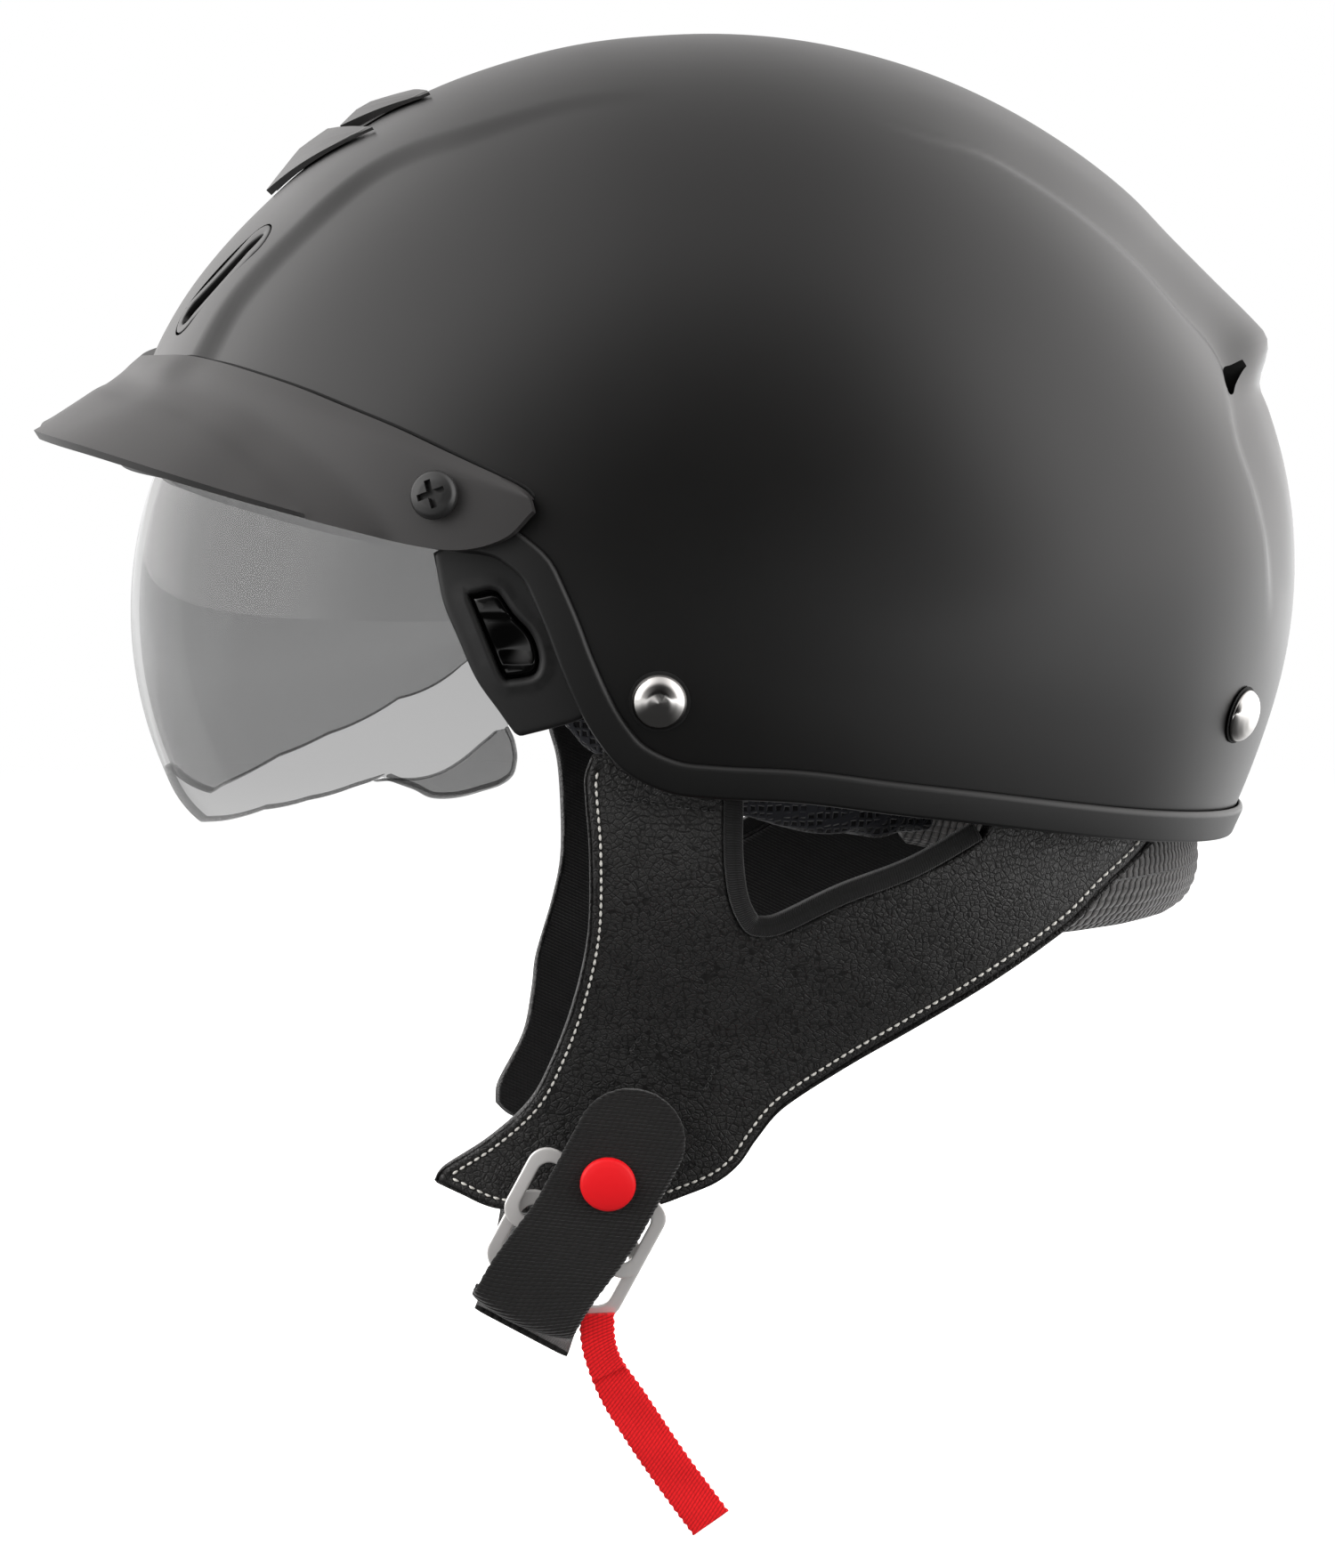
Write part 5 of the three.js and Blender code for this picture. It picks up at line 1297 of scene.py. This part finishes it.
def applied(obj):
    """Replaces the object's mesh by its modified one and clears the modifiers."""
    graph = bpy.context.evaluated_depsgraph_get()
    mesh = bpy.data.meshes.new_from_object(obj.evaluated_get(graph))
    obj.modifiers.clear()
    obj.data = mesh
    return mesh


def inflate(obj, count):
    """Point places in metres after the cloth has swollen."""
    mod = obj.modifiers.new("c", "CLOTH")
    cloth = mod.settings
    cloth.quality, cloth.mass = 5, 0.3
    cloth.tension_stiffness = cloth.compression_stiffness = 15
    cloth.bending_stiffness = 0.5
    cloth.use_pressure, cloth.uniform_pressure_force = True, PAD_PRESSURE
    cloth.effector_weights.gravity = 0
    mod.collision_settings.use_self_collision = False
    mod.collision_settings.use_collision = False
    mod.point_cache.frame_start, mod.point_cache.frame_end = 1, PAD_FRAMES
    for f in range(1, PAD_FRAMES + 1):
        bpy.context.scene.frame_set(f)
    graph = bpy.context.evaluated_depsgraph_get()
    swollen = np.empty(count * 3)
    obj.evaluated_get(graph).to_mesh().vertices.foreach_get("co", swollen)
    obj.evaluated_get(graph).to_mesh_clear()
    obj.modifiers.clear()
    bpy.context.scene.frame_set(1)
    return swollen.reshape(-1, 3)


def soft_pad(node):
    """The CAD pad, slightly shrunk, then swollen by at most PAD_TRAVEL."""
    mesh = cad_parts[node].data.copy()
    obj = bpy.data.objects.new(node + "_v", mesh)
    COLLECTION.objects.link(obj)
    mesh.materials.clear()
    bm = bmesh.new()
    bm.from_mesh(mesh)
    bmesh.ops.remove_doubles(bm, verts=bm.verts, dist=1e-6)
    bm.to_mesh(mesh)
    bm.free()
    mod = obj.modifiers.new("r", "REMESH")
    mod.mode, mod.voxel_size = "VOXEL", PAD_VOXEL / 1000
    mesh = applied(obj)
    n = len(mesh.vertices)
    co, normals = np.empty(n * 3), np.empty(n * 3)
    mesh.vertices.foreach_get("co", co)
    mesh.vertex_normals.foreach_get("vector", normals)
    co, normals = co.reshape(-1, 3), normals.reshape(-1, 3)
    start = co - normals * PAD_SHRINK / 1000
    mesh.vertices.foreach_set("co", start.ravel())
    mesh.update()
    end = inflate(obj, n)
    move = end - start
    travel = length(move)[:, None]
    end = start + move * np.minimum(1, PAD_TRAVEL / 1000 / np.maximum(travel, 1e-9))
    mesh.vertices.foreach_set("co", end.ravel())
    mod = obj.modifiers.new("s", "SUBSURF")
    mod.levels = mod.render_levels = 1
    mesh = applied(obj)
    mesh.materials.clear()
    mesh.materials.append(MESH_KNIT)
    mesh.shade_smooth()
    put(obj, node)


for node in ("crown_pad", "brow_pad", "rear_pad", "side_pad_left", "side_pad_right"):
    soft_pad(node)

# neck roll round the nape, ribbed along its length
ROLL_END = 66  # degrees either side of the rear
b = np.radians(np.linspace(-ROLL_END, ROLL_END, 241))
degrees = np.degrees(np.abs(b))
size = ((1 - 0.5 * ease(46, ROLL_END, degrees))
        * np.minimum(1, np.sqrt(np.clip((ROLL_END - degrees) / 2.2, 0.03, 1))))
middle = np.stack([82 * np.sin(b), 8 + 101 * np.cos(b), np.full(b.shape, -58.0)], -1)
outward = unit(np.stack([np.sin(b) * 1.15, np.cos(b), 0 * b], -1))
q = np.linspace(0, 2 * math.pi, 161)[:-1]
rib = 1 + 0.035 * np.abs(np.cos(q * 13)) ** 0.8 - 0.03
sag = 1 + 0.012 * np.sin(b * 31)[:, None] * np.sin(q * 2)[None, :]


def roll_part(radius, wave):
    return (radius * size[:, None] * (wave * rib)[None] * sag)[..., None]


rings = (middle[:, None] + outward[:, None] * roll_part(8.5, np.cos(q))
         + vec(0, 0, 1) * roll_part(12.3, np.sin(q)))
put(loft("neck_roll_v", rings, RIB_KNIT,
         uv=uv_grid((q / (2 * math.pi) * 62)[None, :], (b * 95)[:, None])),
    "neck_roll")

# ---------------------------------------------------------------- leather Y-straps
# all outlines are y, z seen from the side
STRAP_RIM = table("-80 -27, -16 -27, 15 -32, 55 -38, 88 -44, 125 -50")
# depth below that rim line, inward lean
LEAN = table("""0 0, 10 1.5, 20 4.5, 35 12.5, 50 23, 62 32, 74 38.5, 85 43.3, 97 46.6,
    115 49.6""")
FRONT_LEFT = table("""-31 -24, -32.5 -28.5, -32.3 -34.2, -31.4 -46.7, -31.6 -66.4, -35 -84.8,
    -39.9 -99.7, -45.1 -110, -54.4 -119.3, -64.8 -126.9, -66.5 -129.8""")
BOTTOM_LEFT = table("-66.5 -129.8, -60.7 -132.3, -52.3 -135.5, -34 -136.5")
FRONT_RIGHT = table("""-34 -24, -37.6 -30, -37.2 -36.7, -35.1 -44.6, -34.3 -55.5,
    -34.5 -68.4, -36.9 -78.8, -41 -91.2, -42.2 -99.6, -44.5 -110.1, -50.8 -121.8,
    -51.3 -126.6""")
BOTTOM_RIGHT = table("-51.3 -126.6, -48 -129.6, -40 -133, -34 -136.5")
LOWER = table("""-34 -136.5, -15.9 -133.8, -8.7 -131.2, -1.4 -127.9, 3.7 -123.4, 7.8 -116.9,
    13.8 -109.1, 28.1 -98.7, 42.1 -89.6, 58.2 -79.3, 78.7 -65.3, 87.1 -57.6, 98.3 -48.7,
    103 -40""")
NOTCH = table("""60 -37, 56.7 -44.3, 42.4 -52.1, 26.2 -58.3, 12.3 -65.4, 7.3 -66.3,
    3.2 -64.7, -0.3 -57.6, -1.9 -46.5, -2 -35, -2 -25""")
STITCH_BOX = table("-22.1 -96, -19.5 -91.9, -2.4 -99.8, -4.4 -105.2")
BAR_TACK = table("-24.5 -33.2, -3.4 -36")
SEAM_INSET, SEAM_PITCH, SEAM_STITCH = 2.0, 2.05, 1.42


def strap_form(y, z):
    """x of the strap's middle surface: inside the shell, leaning in below the rim."""
    y, z = np.broadcast_arrays(np.asarray(y, float), np.asarray(z, float))
    rim = linear(STRAP_RIM, y)
    zz, e = np.maximum(z, rim), 0.5
    gy = (base_x(y + e, zz) - base_x(y - e, zz)) / (2 * e)
    gz = (base_x(y, zz + e) - base_x(y, zz - e)) / (2 * e)
    off = (9.2 + 1.1 * ease(58, 76, y)) * np.sqrt(1 + gy * gy + gz * gz)
    return (base_x(y, zz) - off
            - np.where(rim > z, spline(LEAN, np.maximum(0, rim - z)), 0))


# one smoothed table of that surface
CELL = 1.5
table_y, table_z = np.arange(-84, 134.1, CELL), np.arange(-146, 12.1, CELL)
table_x = strap_form(table_y[:, None], table_z[None, :])
for _ in range(10):
    P = np.pad(table_x, 1, mode="reflect", reflect_type="odd")
    table_x = (4 * P[1:-1, 1:-1] + P[:-2, 1:-1] + P[2:, 1:-1] + P[1:-1, :-2]
               + P[1:-1, 2:]) / 8


def strap_x(y, z):
    y, z = np.asarray(y, float), np.asarray(z, float)
    i = np.clip((y - table_y[0]) / CELL, 0, len(table_y) - 1.001)
    j = np.clip((z - table_z[0]) / CELL, 0, len(table_z) - 1.001)
    a, b = i.astype(int), j.astype(int)
    u, v = i - a, j - b
    return (table_x[a, b] * (1 - u) * (1 - v) + table_x[a + 1, b] * u * (1 - v)
            + table_x[a, b + 1] * (1 - u) * v + table_x[a + 1, b + 1] * u * v)


def strap_at(p, lift):
    return side_on(p, strap_x(p[:, 0], p[:, 1]) + lift)


def strap_normal(p):
    y, z = p[:, 0], p[:, 1]
    gy = (strap_x(y + 1.0, z) - strap_x(y - 1.0, z)) / 2
    gz = (strap_x(y, z + 1.0) - strap_x(y, z - 1.0)) / 2
    return unit(np.stack([np.ones_like(gy), -gy, -gz], -1))


def inset(path, k):
    """Path moved k to the left of travel, the inside of the strap."""
    return path + left_normal(unit(np.gradient(path, axis=0))) * k


def seam_runs(seams):
    starts, ends = [], []
    for seam in seams:
        path = resample(seam, 0.25, False)
        s = run_length(path)
        t = np.arange(3.0, s[-1] - 3.0, SEAM_PITCH)
        starts.append(along(t, s, path))
        ends.append(along(t + SEAM_STITCH, s, path))
    return np.vstack(starts), np.vstack(ends)


def box_runs():
    """Stitches about 2 mm apart round the box and along the bar tack."""
    starts, ends = [], []
    for a, b in [*zip(STITCH_BOX, np.roll(STITCH_BOX, -1, 0)), BAR_TACK]:
        k = max(1, int(round(np.linalg.norm(b - a) / 2.0)))
        i = np.arange(k)[:, None]
        starts.append(a + (b - a) * (i + 0.15) / k)
        ends.append(a + (b - a) * (i + 0.85) / k)
    return np.vstack(starts), np.vstack(ends)


def strap_side(side, flip, front, bottom):
    """Cover, stitches, lining and edge of one strap; flip is -1 on the right."""
    lines = [catmull(points, 6, False) for points in (front, bottom, LOWER, NOTCH)]
    outline = np.vstack([lines[0][:-1], lines[1][:-1], lines[2], lines[3]])
    seams = [inset(resample(path, 0.5, False), SEAM_INSET)
             for path in (lines[0], np.vstack([lines[1][:-1], lines[2]]))]
    mirror = vec(flip, 1, 1)

    def to_3d(p, h):
        return side_on(p, h * flip)

    def cover_top(p, d):
        y, z = p[:, 0], p[:, 1]
        seam = np.minimum(dist_to(p, seams[0], False), dist_to(p, seams[1], False))
        h = strap_x(y, z) + 2.55
        h += rounded(0.75)(d)
        # turned edge and stitch channel
        h += 0.34 * np.exp(-((d - 0.95) / 0.55) ** 2) - 0.42 * np.exp(-(seam / 0.5) ** 2)
        # slow waves, puckers by the seam, groove of the stitch box
        h += (0.30 * np.sin(y * 0.31 + np.sin(z * 0.17) * 1.7) * np.sin(z * 0.23 + 0.4)
              * ease(3, 9, d))
        h += 0.11 * np.sin(y * 0.83 + z * 0.47) * np.exp(-((seam - 2.2) / 1.6) ** 2)
        h += -0.35 * np.exp(-(dist_to(p, STITCH_BOX) / 0.55) ** 2)
        return h

    def cover_bottom(p, d):
        return strap_x(p[:, 0], p[:, 1]) + 1.15 - 0.15 * (d < .3)

    def lining_top(p, d):
        return strap_x(p[:, 0], p[:, 1]) - 1.15

    def lining_bottom(p, d):
        return (strap_x(p[:, 0], p[:, 1]) - 2.5 - rounded(1.0)(d)
                + 0.12 * np.sin(p[:, 0] * 0.7) * np.sin(p[:, 1] * 0.6))

    cover = slab(f"strap_cover_{side}_v", outline, cover_top, cover_bottom, LEATHER, to_3d,
                 step=1.15, edge=0.8, rings=(0.1, 0.3, 0.6, 0.95, 1.35, 1.8, 2.2, 2.7))
    put(sharpen(cover, 60), f"strap_cover_{side}")
    for kind, (starts, ends), lift, radius, material in (
            ("seam", seam_runs(seams), 2.42, 0.33, WHITE_THREAD),
            ("box", box_runs(), 2.95, 0.40, BLACK_THREAD)):
        put(thread_sheet(f"{kind}_stitches_{side}", strap_at(starts, lift) * mirror,
                         strap_at(ends, lift) * mirror, strap_normal(starts) * mirror,
                         radius, material))
    lining = slab(f"strap_lining_{side}_v", outline, lining_top, lining_bottom, LINING, to_3d,
                  step=1.8, edge=1.2, rings=(0.15, 0.5, 1.0, 1.6))
    put(sharpen(lining, 60), f"strap_lining_{side}")
    # edge joining cover and lining
    edge = resample(outline, 0.9)
    put(bead(f"strap_edge_{side}", strap_at(edge, 0.0) * mirror, strap_normal(edge) * mirror,
             0.55, 2.1, LEATHER, sides=12, closed=True))


strap_side("left", 1, FRONT_LEFT, BOTTOM_LEFT)
strap_side("right", -1, FRONT_RIGHT, BOTTOM_RIGHT)

# webbing between cover and lining, up to the rivets
WEB_FRONT = table("""-29.2 -2.5, -4.2 -2.5, -4.6 -30, -4.8 -60, -8 -90, -14 -112, -22 -133,
    -46 -133, -39.5 -117, -34 -95, -29.4 -70, -29 -40""")
WEB_REAR = table("""-14 -112, -8 -88, 20 -78, 46 -63.5, 64 -52, 80 -42.5, 98 -29, 110 -12,
    121.5 -12.5, 120.5 -27, 104 -42, 92 -52.5, 76 -64, 58 -77, 36 -90, 12 -103, -4 -113""")


def web_leg(name, outline):
    def face(sign):
        return lambda p, d: (strap_x(p[:, 0], p[:, 1])
                             + sign * (0.68 + rounded(0.45)(d)))
    return slab(name, outline, face(1), face(-1), WEBBING, side_on, step=1.9, edge=1.2,
                rings=(0.15, 0.45, 0.9))


def strap_webbing(name):
    front, rear = web_leg("wa", WEB_FRONT), web_leg("wb", WEB_REAR)
    bm = bmesh.new()
    bm.from_mesh(front.data)
    bm.from_mesh(rear.data)
    bm.to_mesh(front.data)
    bm.free()
    bpy.data.objects.remove(rear)
    front.name = name
    return front


pair(strap_webbing, "strap_webbing")

# folded tape round each V notch; its section is (across, out)
FOLD = table("""-2 -33, -1.9 -46.5, -0.3 -57.6, 3.2 -64.7, 7.3 -66.3, 12.3 -65.4,
    26.2 -58.3, 42.4 -52.1, 57.5 -44""")
FOLD_SECTION = table("-2.4 0, -2.4 -2.7, 2.1 -2.5, 2.1 2.5, -2.4 2.95, -2.4 0")
FOLD_STEP = 0.7


def notch(name):
    path = trace(FOLD, 8, FOLD_STEP)
    q = left_normal(unit(np.gradient(path, axis=0)))
    q[((vec(20, -44) - path) * q).sum(1) < 0] *= -1  # point into the notch
    for _ in range(8):
        q[1:-1] = unit(q[:-2] + 2 * q[1:-1] + q[2:])
    c = path + q * 2.55
    section = round_corners(FOLD_SECTION, 0.9, 4)[:-1]
    y, z = (c[:, k:k + 1] + q[:, k:k + 1] * section[None, :, 0] for k in (0, 1))
    x = strap_x(c[:, 0], c[:, 1])[:, None] + section[None, :, 1]
    uv = uv_grid((np.arange(len(section)) * 0.5)[None], (np.arange(len(c)) * FOLD_STEP)[:, None])
    return loft(name, np.stack([x, y, z], -1), BINDING, uv=uv)


pair(notch, "notch_binding")

# ---------------------------------------------------------------- buckle
# buckle frame at the snap: across the strap, down along it, outwards
DOWN = unit(vec(-0.15, -0.456, -0.877))
OUT = unit(vec(1, 0, 0) - DOWN * DOWN[0])
ACROSS = unit(np.cross(OUT, DOWN))
SNAP = vec(72, -27.1, -127.1)


def buckle_at(a, s, n):
    a, s, n = np.broadcast_arrays(*(np.asarray(value, float) for value in (a, s, n)))
    return SNAP + a[..., None] * ACROSS + s[..., None] * DOWN + n[..., None] * OUT


def buckle_frame(a=0, s=0, n=0):
    return buckle_at(a, s, n), ACROSS, -DOWN, OUT


def strap_tail():
    """Webbing tail: rounded top, slight waves, turned in at the lower fold."""
    half_width, round_from = 12.7, -11.3
    flats = np.concatenate([np.linspace(-24, -20, 12), np.linspace(-20, 36, 72)[1:]])
    # stations: distance down, height out, turn of the fold
    path = [(s, -1.5, 0.0) for s in flats]
    path += [(36 + 3 * math.sin(q), -4.5 + 3 * math.cos(q), q)
             for q in np.radians(np.linspace(8, 150, 20))]
    u = np.linspace(-1, 1, 35)
    t = 0.70 - 0.32 * np.abs(u) ** 14
    outer, inner, uvs = [], [], []
    run = 0.0
    for i, (s, n, q) in enumerate(path):
        w = half_width
        if s < round_from:
            w = half_width * math.sqrt(max(0.0006, 1 - ((round_from - s) / half_width) ** 2))
        if i:
            run += math.hypot(s - path[i - 1][0], n - path[i - 1][1])
        fray = 0.10 * np.sin(run * 5.1) * (np.abs(u) > 0.97)
        a = u * w + -2.6 * float(ease(8, 34, s)) + fray
        wave = 0.28 * math.sin(run * 0.16) * np.sin(u * 1.9) + 0.16 * np.sin(run * 0.45 + u * 2.0)
        if s < -15:
            wave = wave * float(ease(-24, -15, s))
        lift = wave * math.cos(q) * 0.6
        s = s + 2.1 * (1 - (u + 0.15) ** 2) * float(ease(22, 36, s))
        outer.append(buckle_at(a, s + t * math.sin(q), n + t * math.cos(q) + lift))
        inner.append(buckle_at(a, s - t * math.sin(q), n - t * math.cos(q) + lift))
        uvs.append(uv_grid(u * w, run))
    return sheet("strap_tail_v", np.array(outer), np.array(inner), WEBBING, uv=np.array(uvs))


put(strap_tail(), "strap_tail", "tail")
SNAP_SECTION = table("""0.01 -0.4, 6.5 -0.4, 6.5 0.35, 6 1.05, 4.6 1.5, 2.4 1.85,
    0.01 1.95""")
put(lathe("snap_cap_v", round_corners(SNAP_SECTION, 0.4, 4), buckle_frame(), ENAMEL, 72),
    "snap_cap", "tail")


def round_rect(half_w, half_h, r, n=10):
    out = []
    for sign_x, sign_y, start in ((1, 1, 0), (-1, 1, 90), (-1, -1, 180), (1, -1, 270)):
        for k in range(n + 1):
            a = math.radians(start + 90 * k / n)
            out.append([sign_x * (half_w - r) + r * math.cos(a),
                        sign_y * (half_h - r) + r * math.sin(a)])
    return np.array(out)


RAIL, RING_THICK = 3.2, 1.2


def d_ring(name, half_w, half_h, corner, frame):
    """Flat ring with rounded edges."""
    hole = round_rect(half_w - RAIL, half_h - RAIL, max(1.6, corner - RAIL * 0.6))
    return sharpen(slab(name, round_rect(half_w, half_h, corner),
                        lambda p, d: RING_THICK + rounded(0.5)(d),
                        lambda p, d: -rounded(0.5)(d), RING_PLATE,
                        lambda p, h: place(at_height(p, h), frame), step=0.8, edge=0.5,
                        rings=(0.06, 0.16, 0.32, 0.5, 0.9), holes=[hole]), 60)


put(d_ring("d_ring_outer_v", 17.8, 10.6, 5, buckle_frame(-0.8, 10.6, -7.2)),
    "d_ring_outer", "ring_outer")
put(d_ring("d_ring_inner_v", 17.2, 11.4, 6, buckle_frame(0, 22.4, -8.8)),
    "d_ring_inner", "ring_inner")

# webbing loop that carries the rings: two half turns joined by straights
LOOP_R, LOOP_N, LOOP_HALF, LOOP_STEP = 2.3, -7.4, 12, 0.6
loop = resample([[s + LOOP_R * math.sin(q), LOOP_N + LOOP_R * math.cos(q)]
                 for s, start in ((13.5, 0), (-4.6, math.pi))
                 for q in np.linspace(start, start + math.pi, 12)], LOOP_STEP)
outward = left_normal(unit(np.roll(loop, -1, 0) - np.roll(loop, 1, 0)))
w = np.linspace(-LOOP_HALF, LOOP_HALF, 31)
thick = 0.46 - 0.2 * np.abs(w / LOOP_HALF) ** 12
loop_outer, loop_inner = (
    buckle_at(w[None, :], *(loop[:, k:k + 1] + outward[:, k:k + 1] * t for k in (0, 1)))
    for t in (thick, -thick))
put(sheet("ring_loop_v", loop_outer, loop_inner, WEBBING, wrap=True,
          uv=uv_grid(w[None, :], (np.arange(len(loop)) * LOOP_STEP)[:, None])),
    "ring_loop")


# ---------------------------------------------------------------- chin strap and pull tab
def curve(points, n):
    path = catmull(points, 24, False)
    return resample(path, np.sum(length(np.diff(path, axis=0))) / n, False)


def strip(name, middle, across, half, thick, material, serration=0.0, pitch=1.6, columns=25,
          wave=0.0):
    """Woven strip along middle; serration makes its edges zigzag."""
    tangents = unit(np.gradient(middle, axis=0))
    n = unit(np.cross(tangents, across))
    across = unit(np.cross(n, tangents))
    s = run_length(middle)
    u = np.linspace(-1, 1, columns)
    flat_u = u[None] * np.broadcast_to(np.asarray(half, float), s.shape)[:, None]
    zigzag = np.abs((s / pitch) % 1 - 0.5) * 2 - 0.5
    a = flat_u + np.where(np.abs(u)[None] > 0.93,
                          serration * zigzag[:, None] * np.sign(u)[None], 0)
    t = thick / 2 * (1 - 0.35 * np.abs(u) ** 10)
    ripple = wave * np.sin(s * 0.33)[:, None] * np.sin(u * 2.2)[None]
    mid = middle[:, None] + across[:, None] * a[..., None] + n[:, None] * ripple[..., None]
    lift = n[:, None] * t[None, :, None]
    return sheet(name, mid + lift, mid - lift, material, uv=uv_grid(flat_u, s[:, None]))


# centre lines: x, y, z
CHIN_LINE = table("""-56.5 -35 -138.5, -51 -37 -146.5, -40 -39 -153, -22 -40.5 -157.5,
    0 -41.5 -159.5, 24 -43.4 -161.8, 46 -45.8 -163.2, 59.9 -47.1 -163.7""")
TAB_CENTRE = table("""61.3 -29.4 -159.5, 60.5 -29 -166.9, 59 -26.2 -174.8, 58 -18.8 -187,
    57.2 -11.4 -198.2, 56.5 -2.5 -210.6""")
middle = curve(CHIN_LINE, 150)
twist = ease(0.55, 1, np.linspace(0, 1, len(middle)))[:, None]
put(strip("chin_strap_v", middle, unit(vec(0, 0.93, -0.36) * (1 - twist) + ACROSS * twist),
          12.2, 1.35, WEBBING, columns=31, wave=0.12), "chin_strap")

middle = curve(TAB_CENTRE, 200)
tangents = unit(np.gradient(middle, axis=0))
across = unit(np.cross(unit(vec(1, 0, 0) - tangents * tangents[:, 0:1]), tangents))
half = 4 + ease(2 / 12, 5 / 12, np.linspace(0, 1, len(middle)))
put(strip("pull_tab_v", middle, across, half, 1.0, RIBBON, serration=0.42, pitch=1.9,
          wave=0.25), "pull_tab", "tab")
# second layer at the top, where the ribbon is folded over the ring
FOLDED = 52  # stations it covers
second = middle[:FOLDED] + unit(np.cross(tangents, across))[:FOLDED] * 0.95
put(strip("pull_tab_fold", second, across[:FOLDED], half[:FOLDED] * 0.97, 0.8, RIBBON,
          serration=0.35, pitch=1.9), body="tab")


# ---------------------------------------------------------------- floor, camera, world (metres)
def floor_paint():
    """White floor for the camera; a weaker, uneven glow for all other rays."""
    m = new_shader("floor_paint")
    at = m.coords()

    def emission(strength):
        return m.node("Emission", Color=(1, 1, 1), Strength=strength)[0]

    distance = m.node("VectorMath", {"operation": "LENGTH"}, _0=at)["Value"]
    far = m.ramp(distance, 0.5, 1.8)
    diffuse = m.node("BsdfDiffuse", Color=(0.92, 0.92, 0.92))[0]
    lit = m.node("AddShader", _0=diffuse, _1=emission(0.32))[0]
    seen = m.node("MixShader", _0=far, _1=lit, _2=emission(1.0))[0]
    is_camera = m.node("LightPath")["Is Camera Ray"]
    x, y = m.axes(at)[:2]
    away = m.minus(1.0, m.ramp(x, -0.25, 0.10))  # beyond the helmet, seen by the camera
    ends = m.plus(m.ramp(m.math("ABSOLUTE", y), 0.25, 1.1), m.ramp(y, 0.05, 0.8))
    even = m.plus(0.035, m.times(m.node("LightPath")["Is Diffuse Ray"], 0.35))
    glow = m.plus(even, m.plus(m.times(away, 0.55), m.times(ends, 0.95)))
    return m.finish(m.node("MixShader", _0=is_camera, _1=emission(glow), _2=seen)[0])


FLOOR_HALF = 30.0
floor_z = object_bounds()[0][2] - 0.002
paint = floor_paint()
mesh = bpy.data.meshes.new("floor")
mesh.from_pydata([(x * FLOOR_HALF, y * FLOOR_HALF, floor_z)
                  for x, y in ((-1, -1), (1, -1), (1, 1), (-1, 1))], [], [(0, 1, 2, 3)])
mesh.materials.append(paint)
floor = bpy.data.objects.new("floor", mesh)
COLLECTION.objects.link(floor)

# camera on the wearer's left, slightly above
TARGET, CAMERA_DISTANCE = Vector((0, -0.01075, -0.1393)), 1.6
azimuth, elevation = math.radians(88), math.radians(6)
back = Vector((math.sin(azimuth) * math.cos(elevation),
               -math.cos(azimuth) * math.cos(elevation), math.sin(elevation)))
camera = bpy.data.cameras.new("camera")
camera.lens, camera.sensor_width, camera.sensor_fit = 152.05, 36.0, "AUTO"
camera.clip_end = 200
camera_obj = bpy.data.objects.new("camera", camera)
COLLECTION.objects.link(camera_obj)
camera_obj.location = TARGET + back * CAMERA_DISTANCE
camera_obj.rotation_euler = (-back).to_track_quat("-Z", "Y").to_euler()
scene = bpy.context.scene
scene.camera = camera_obj


def studio(world):
    """Soft light, dark towards the camera; the camera itself sees plain white."""
    m = Shader(world, "OutputWorld")
    at = m.node("TexCoord")["Generated"]
    rays = m.node("LightPath")
    facing = m.node("VectorMath", {"operation": "DOT_PRODUCT"}, _0=at,
                    _1=(0.985, -0.10, 0.02))["Value"]
    axes = m.axes(at)
    dim = m.ramp(facing, 0.42, 0.94, 1.0, 0.010)
    rear = m.ramp(axes[1], 0.05, 0.80, 0.0, 1.75)
    front = m.ramp(axes[1], -0.75, 0.0, 1.75, 0.0)
    high = m.ramp(axes[2], 0.35, 0.85, 1.0, 0.62)
    light = m.times(dim, m.plus(m.times(m.plus(rear, front), high), 0.84))
    # even fill for matt surfaces
    light = m.plus(light, m.times(rays["Is Diffuse Ray"], 0.62))
    lit = m.node("Background", Color=(1.0, 0.985, 0.98), Strength=light)[0]
    seen = m.node("Background", Color=(1, 1, 1), Strength=1.0)[0]
    m.finish(m.node("MixShader", _0=rays["Is Camera Ray"], _1=lit, _2=seen)[0])


scene.world = bpy.data.worlds.new("studio")
studio(scene.world)
scene.view_settings.view_transform = "Standard"
scene.view_settings.look = "None"
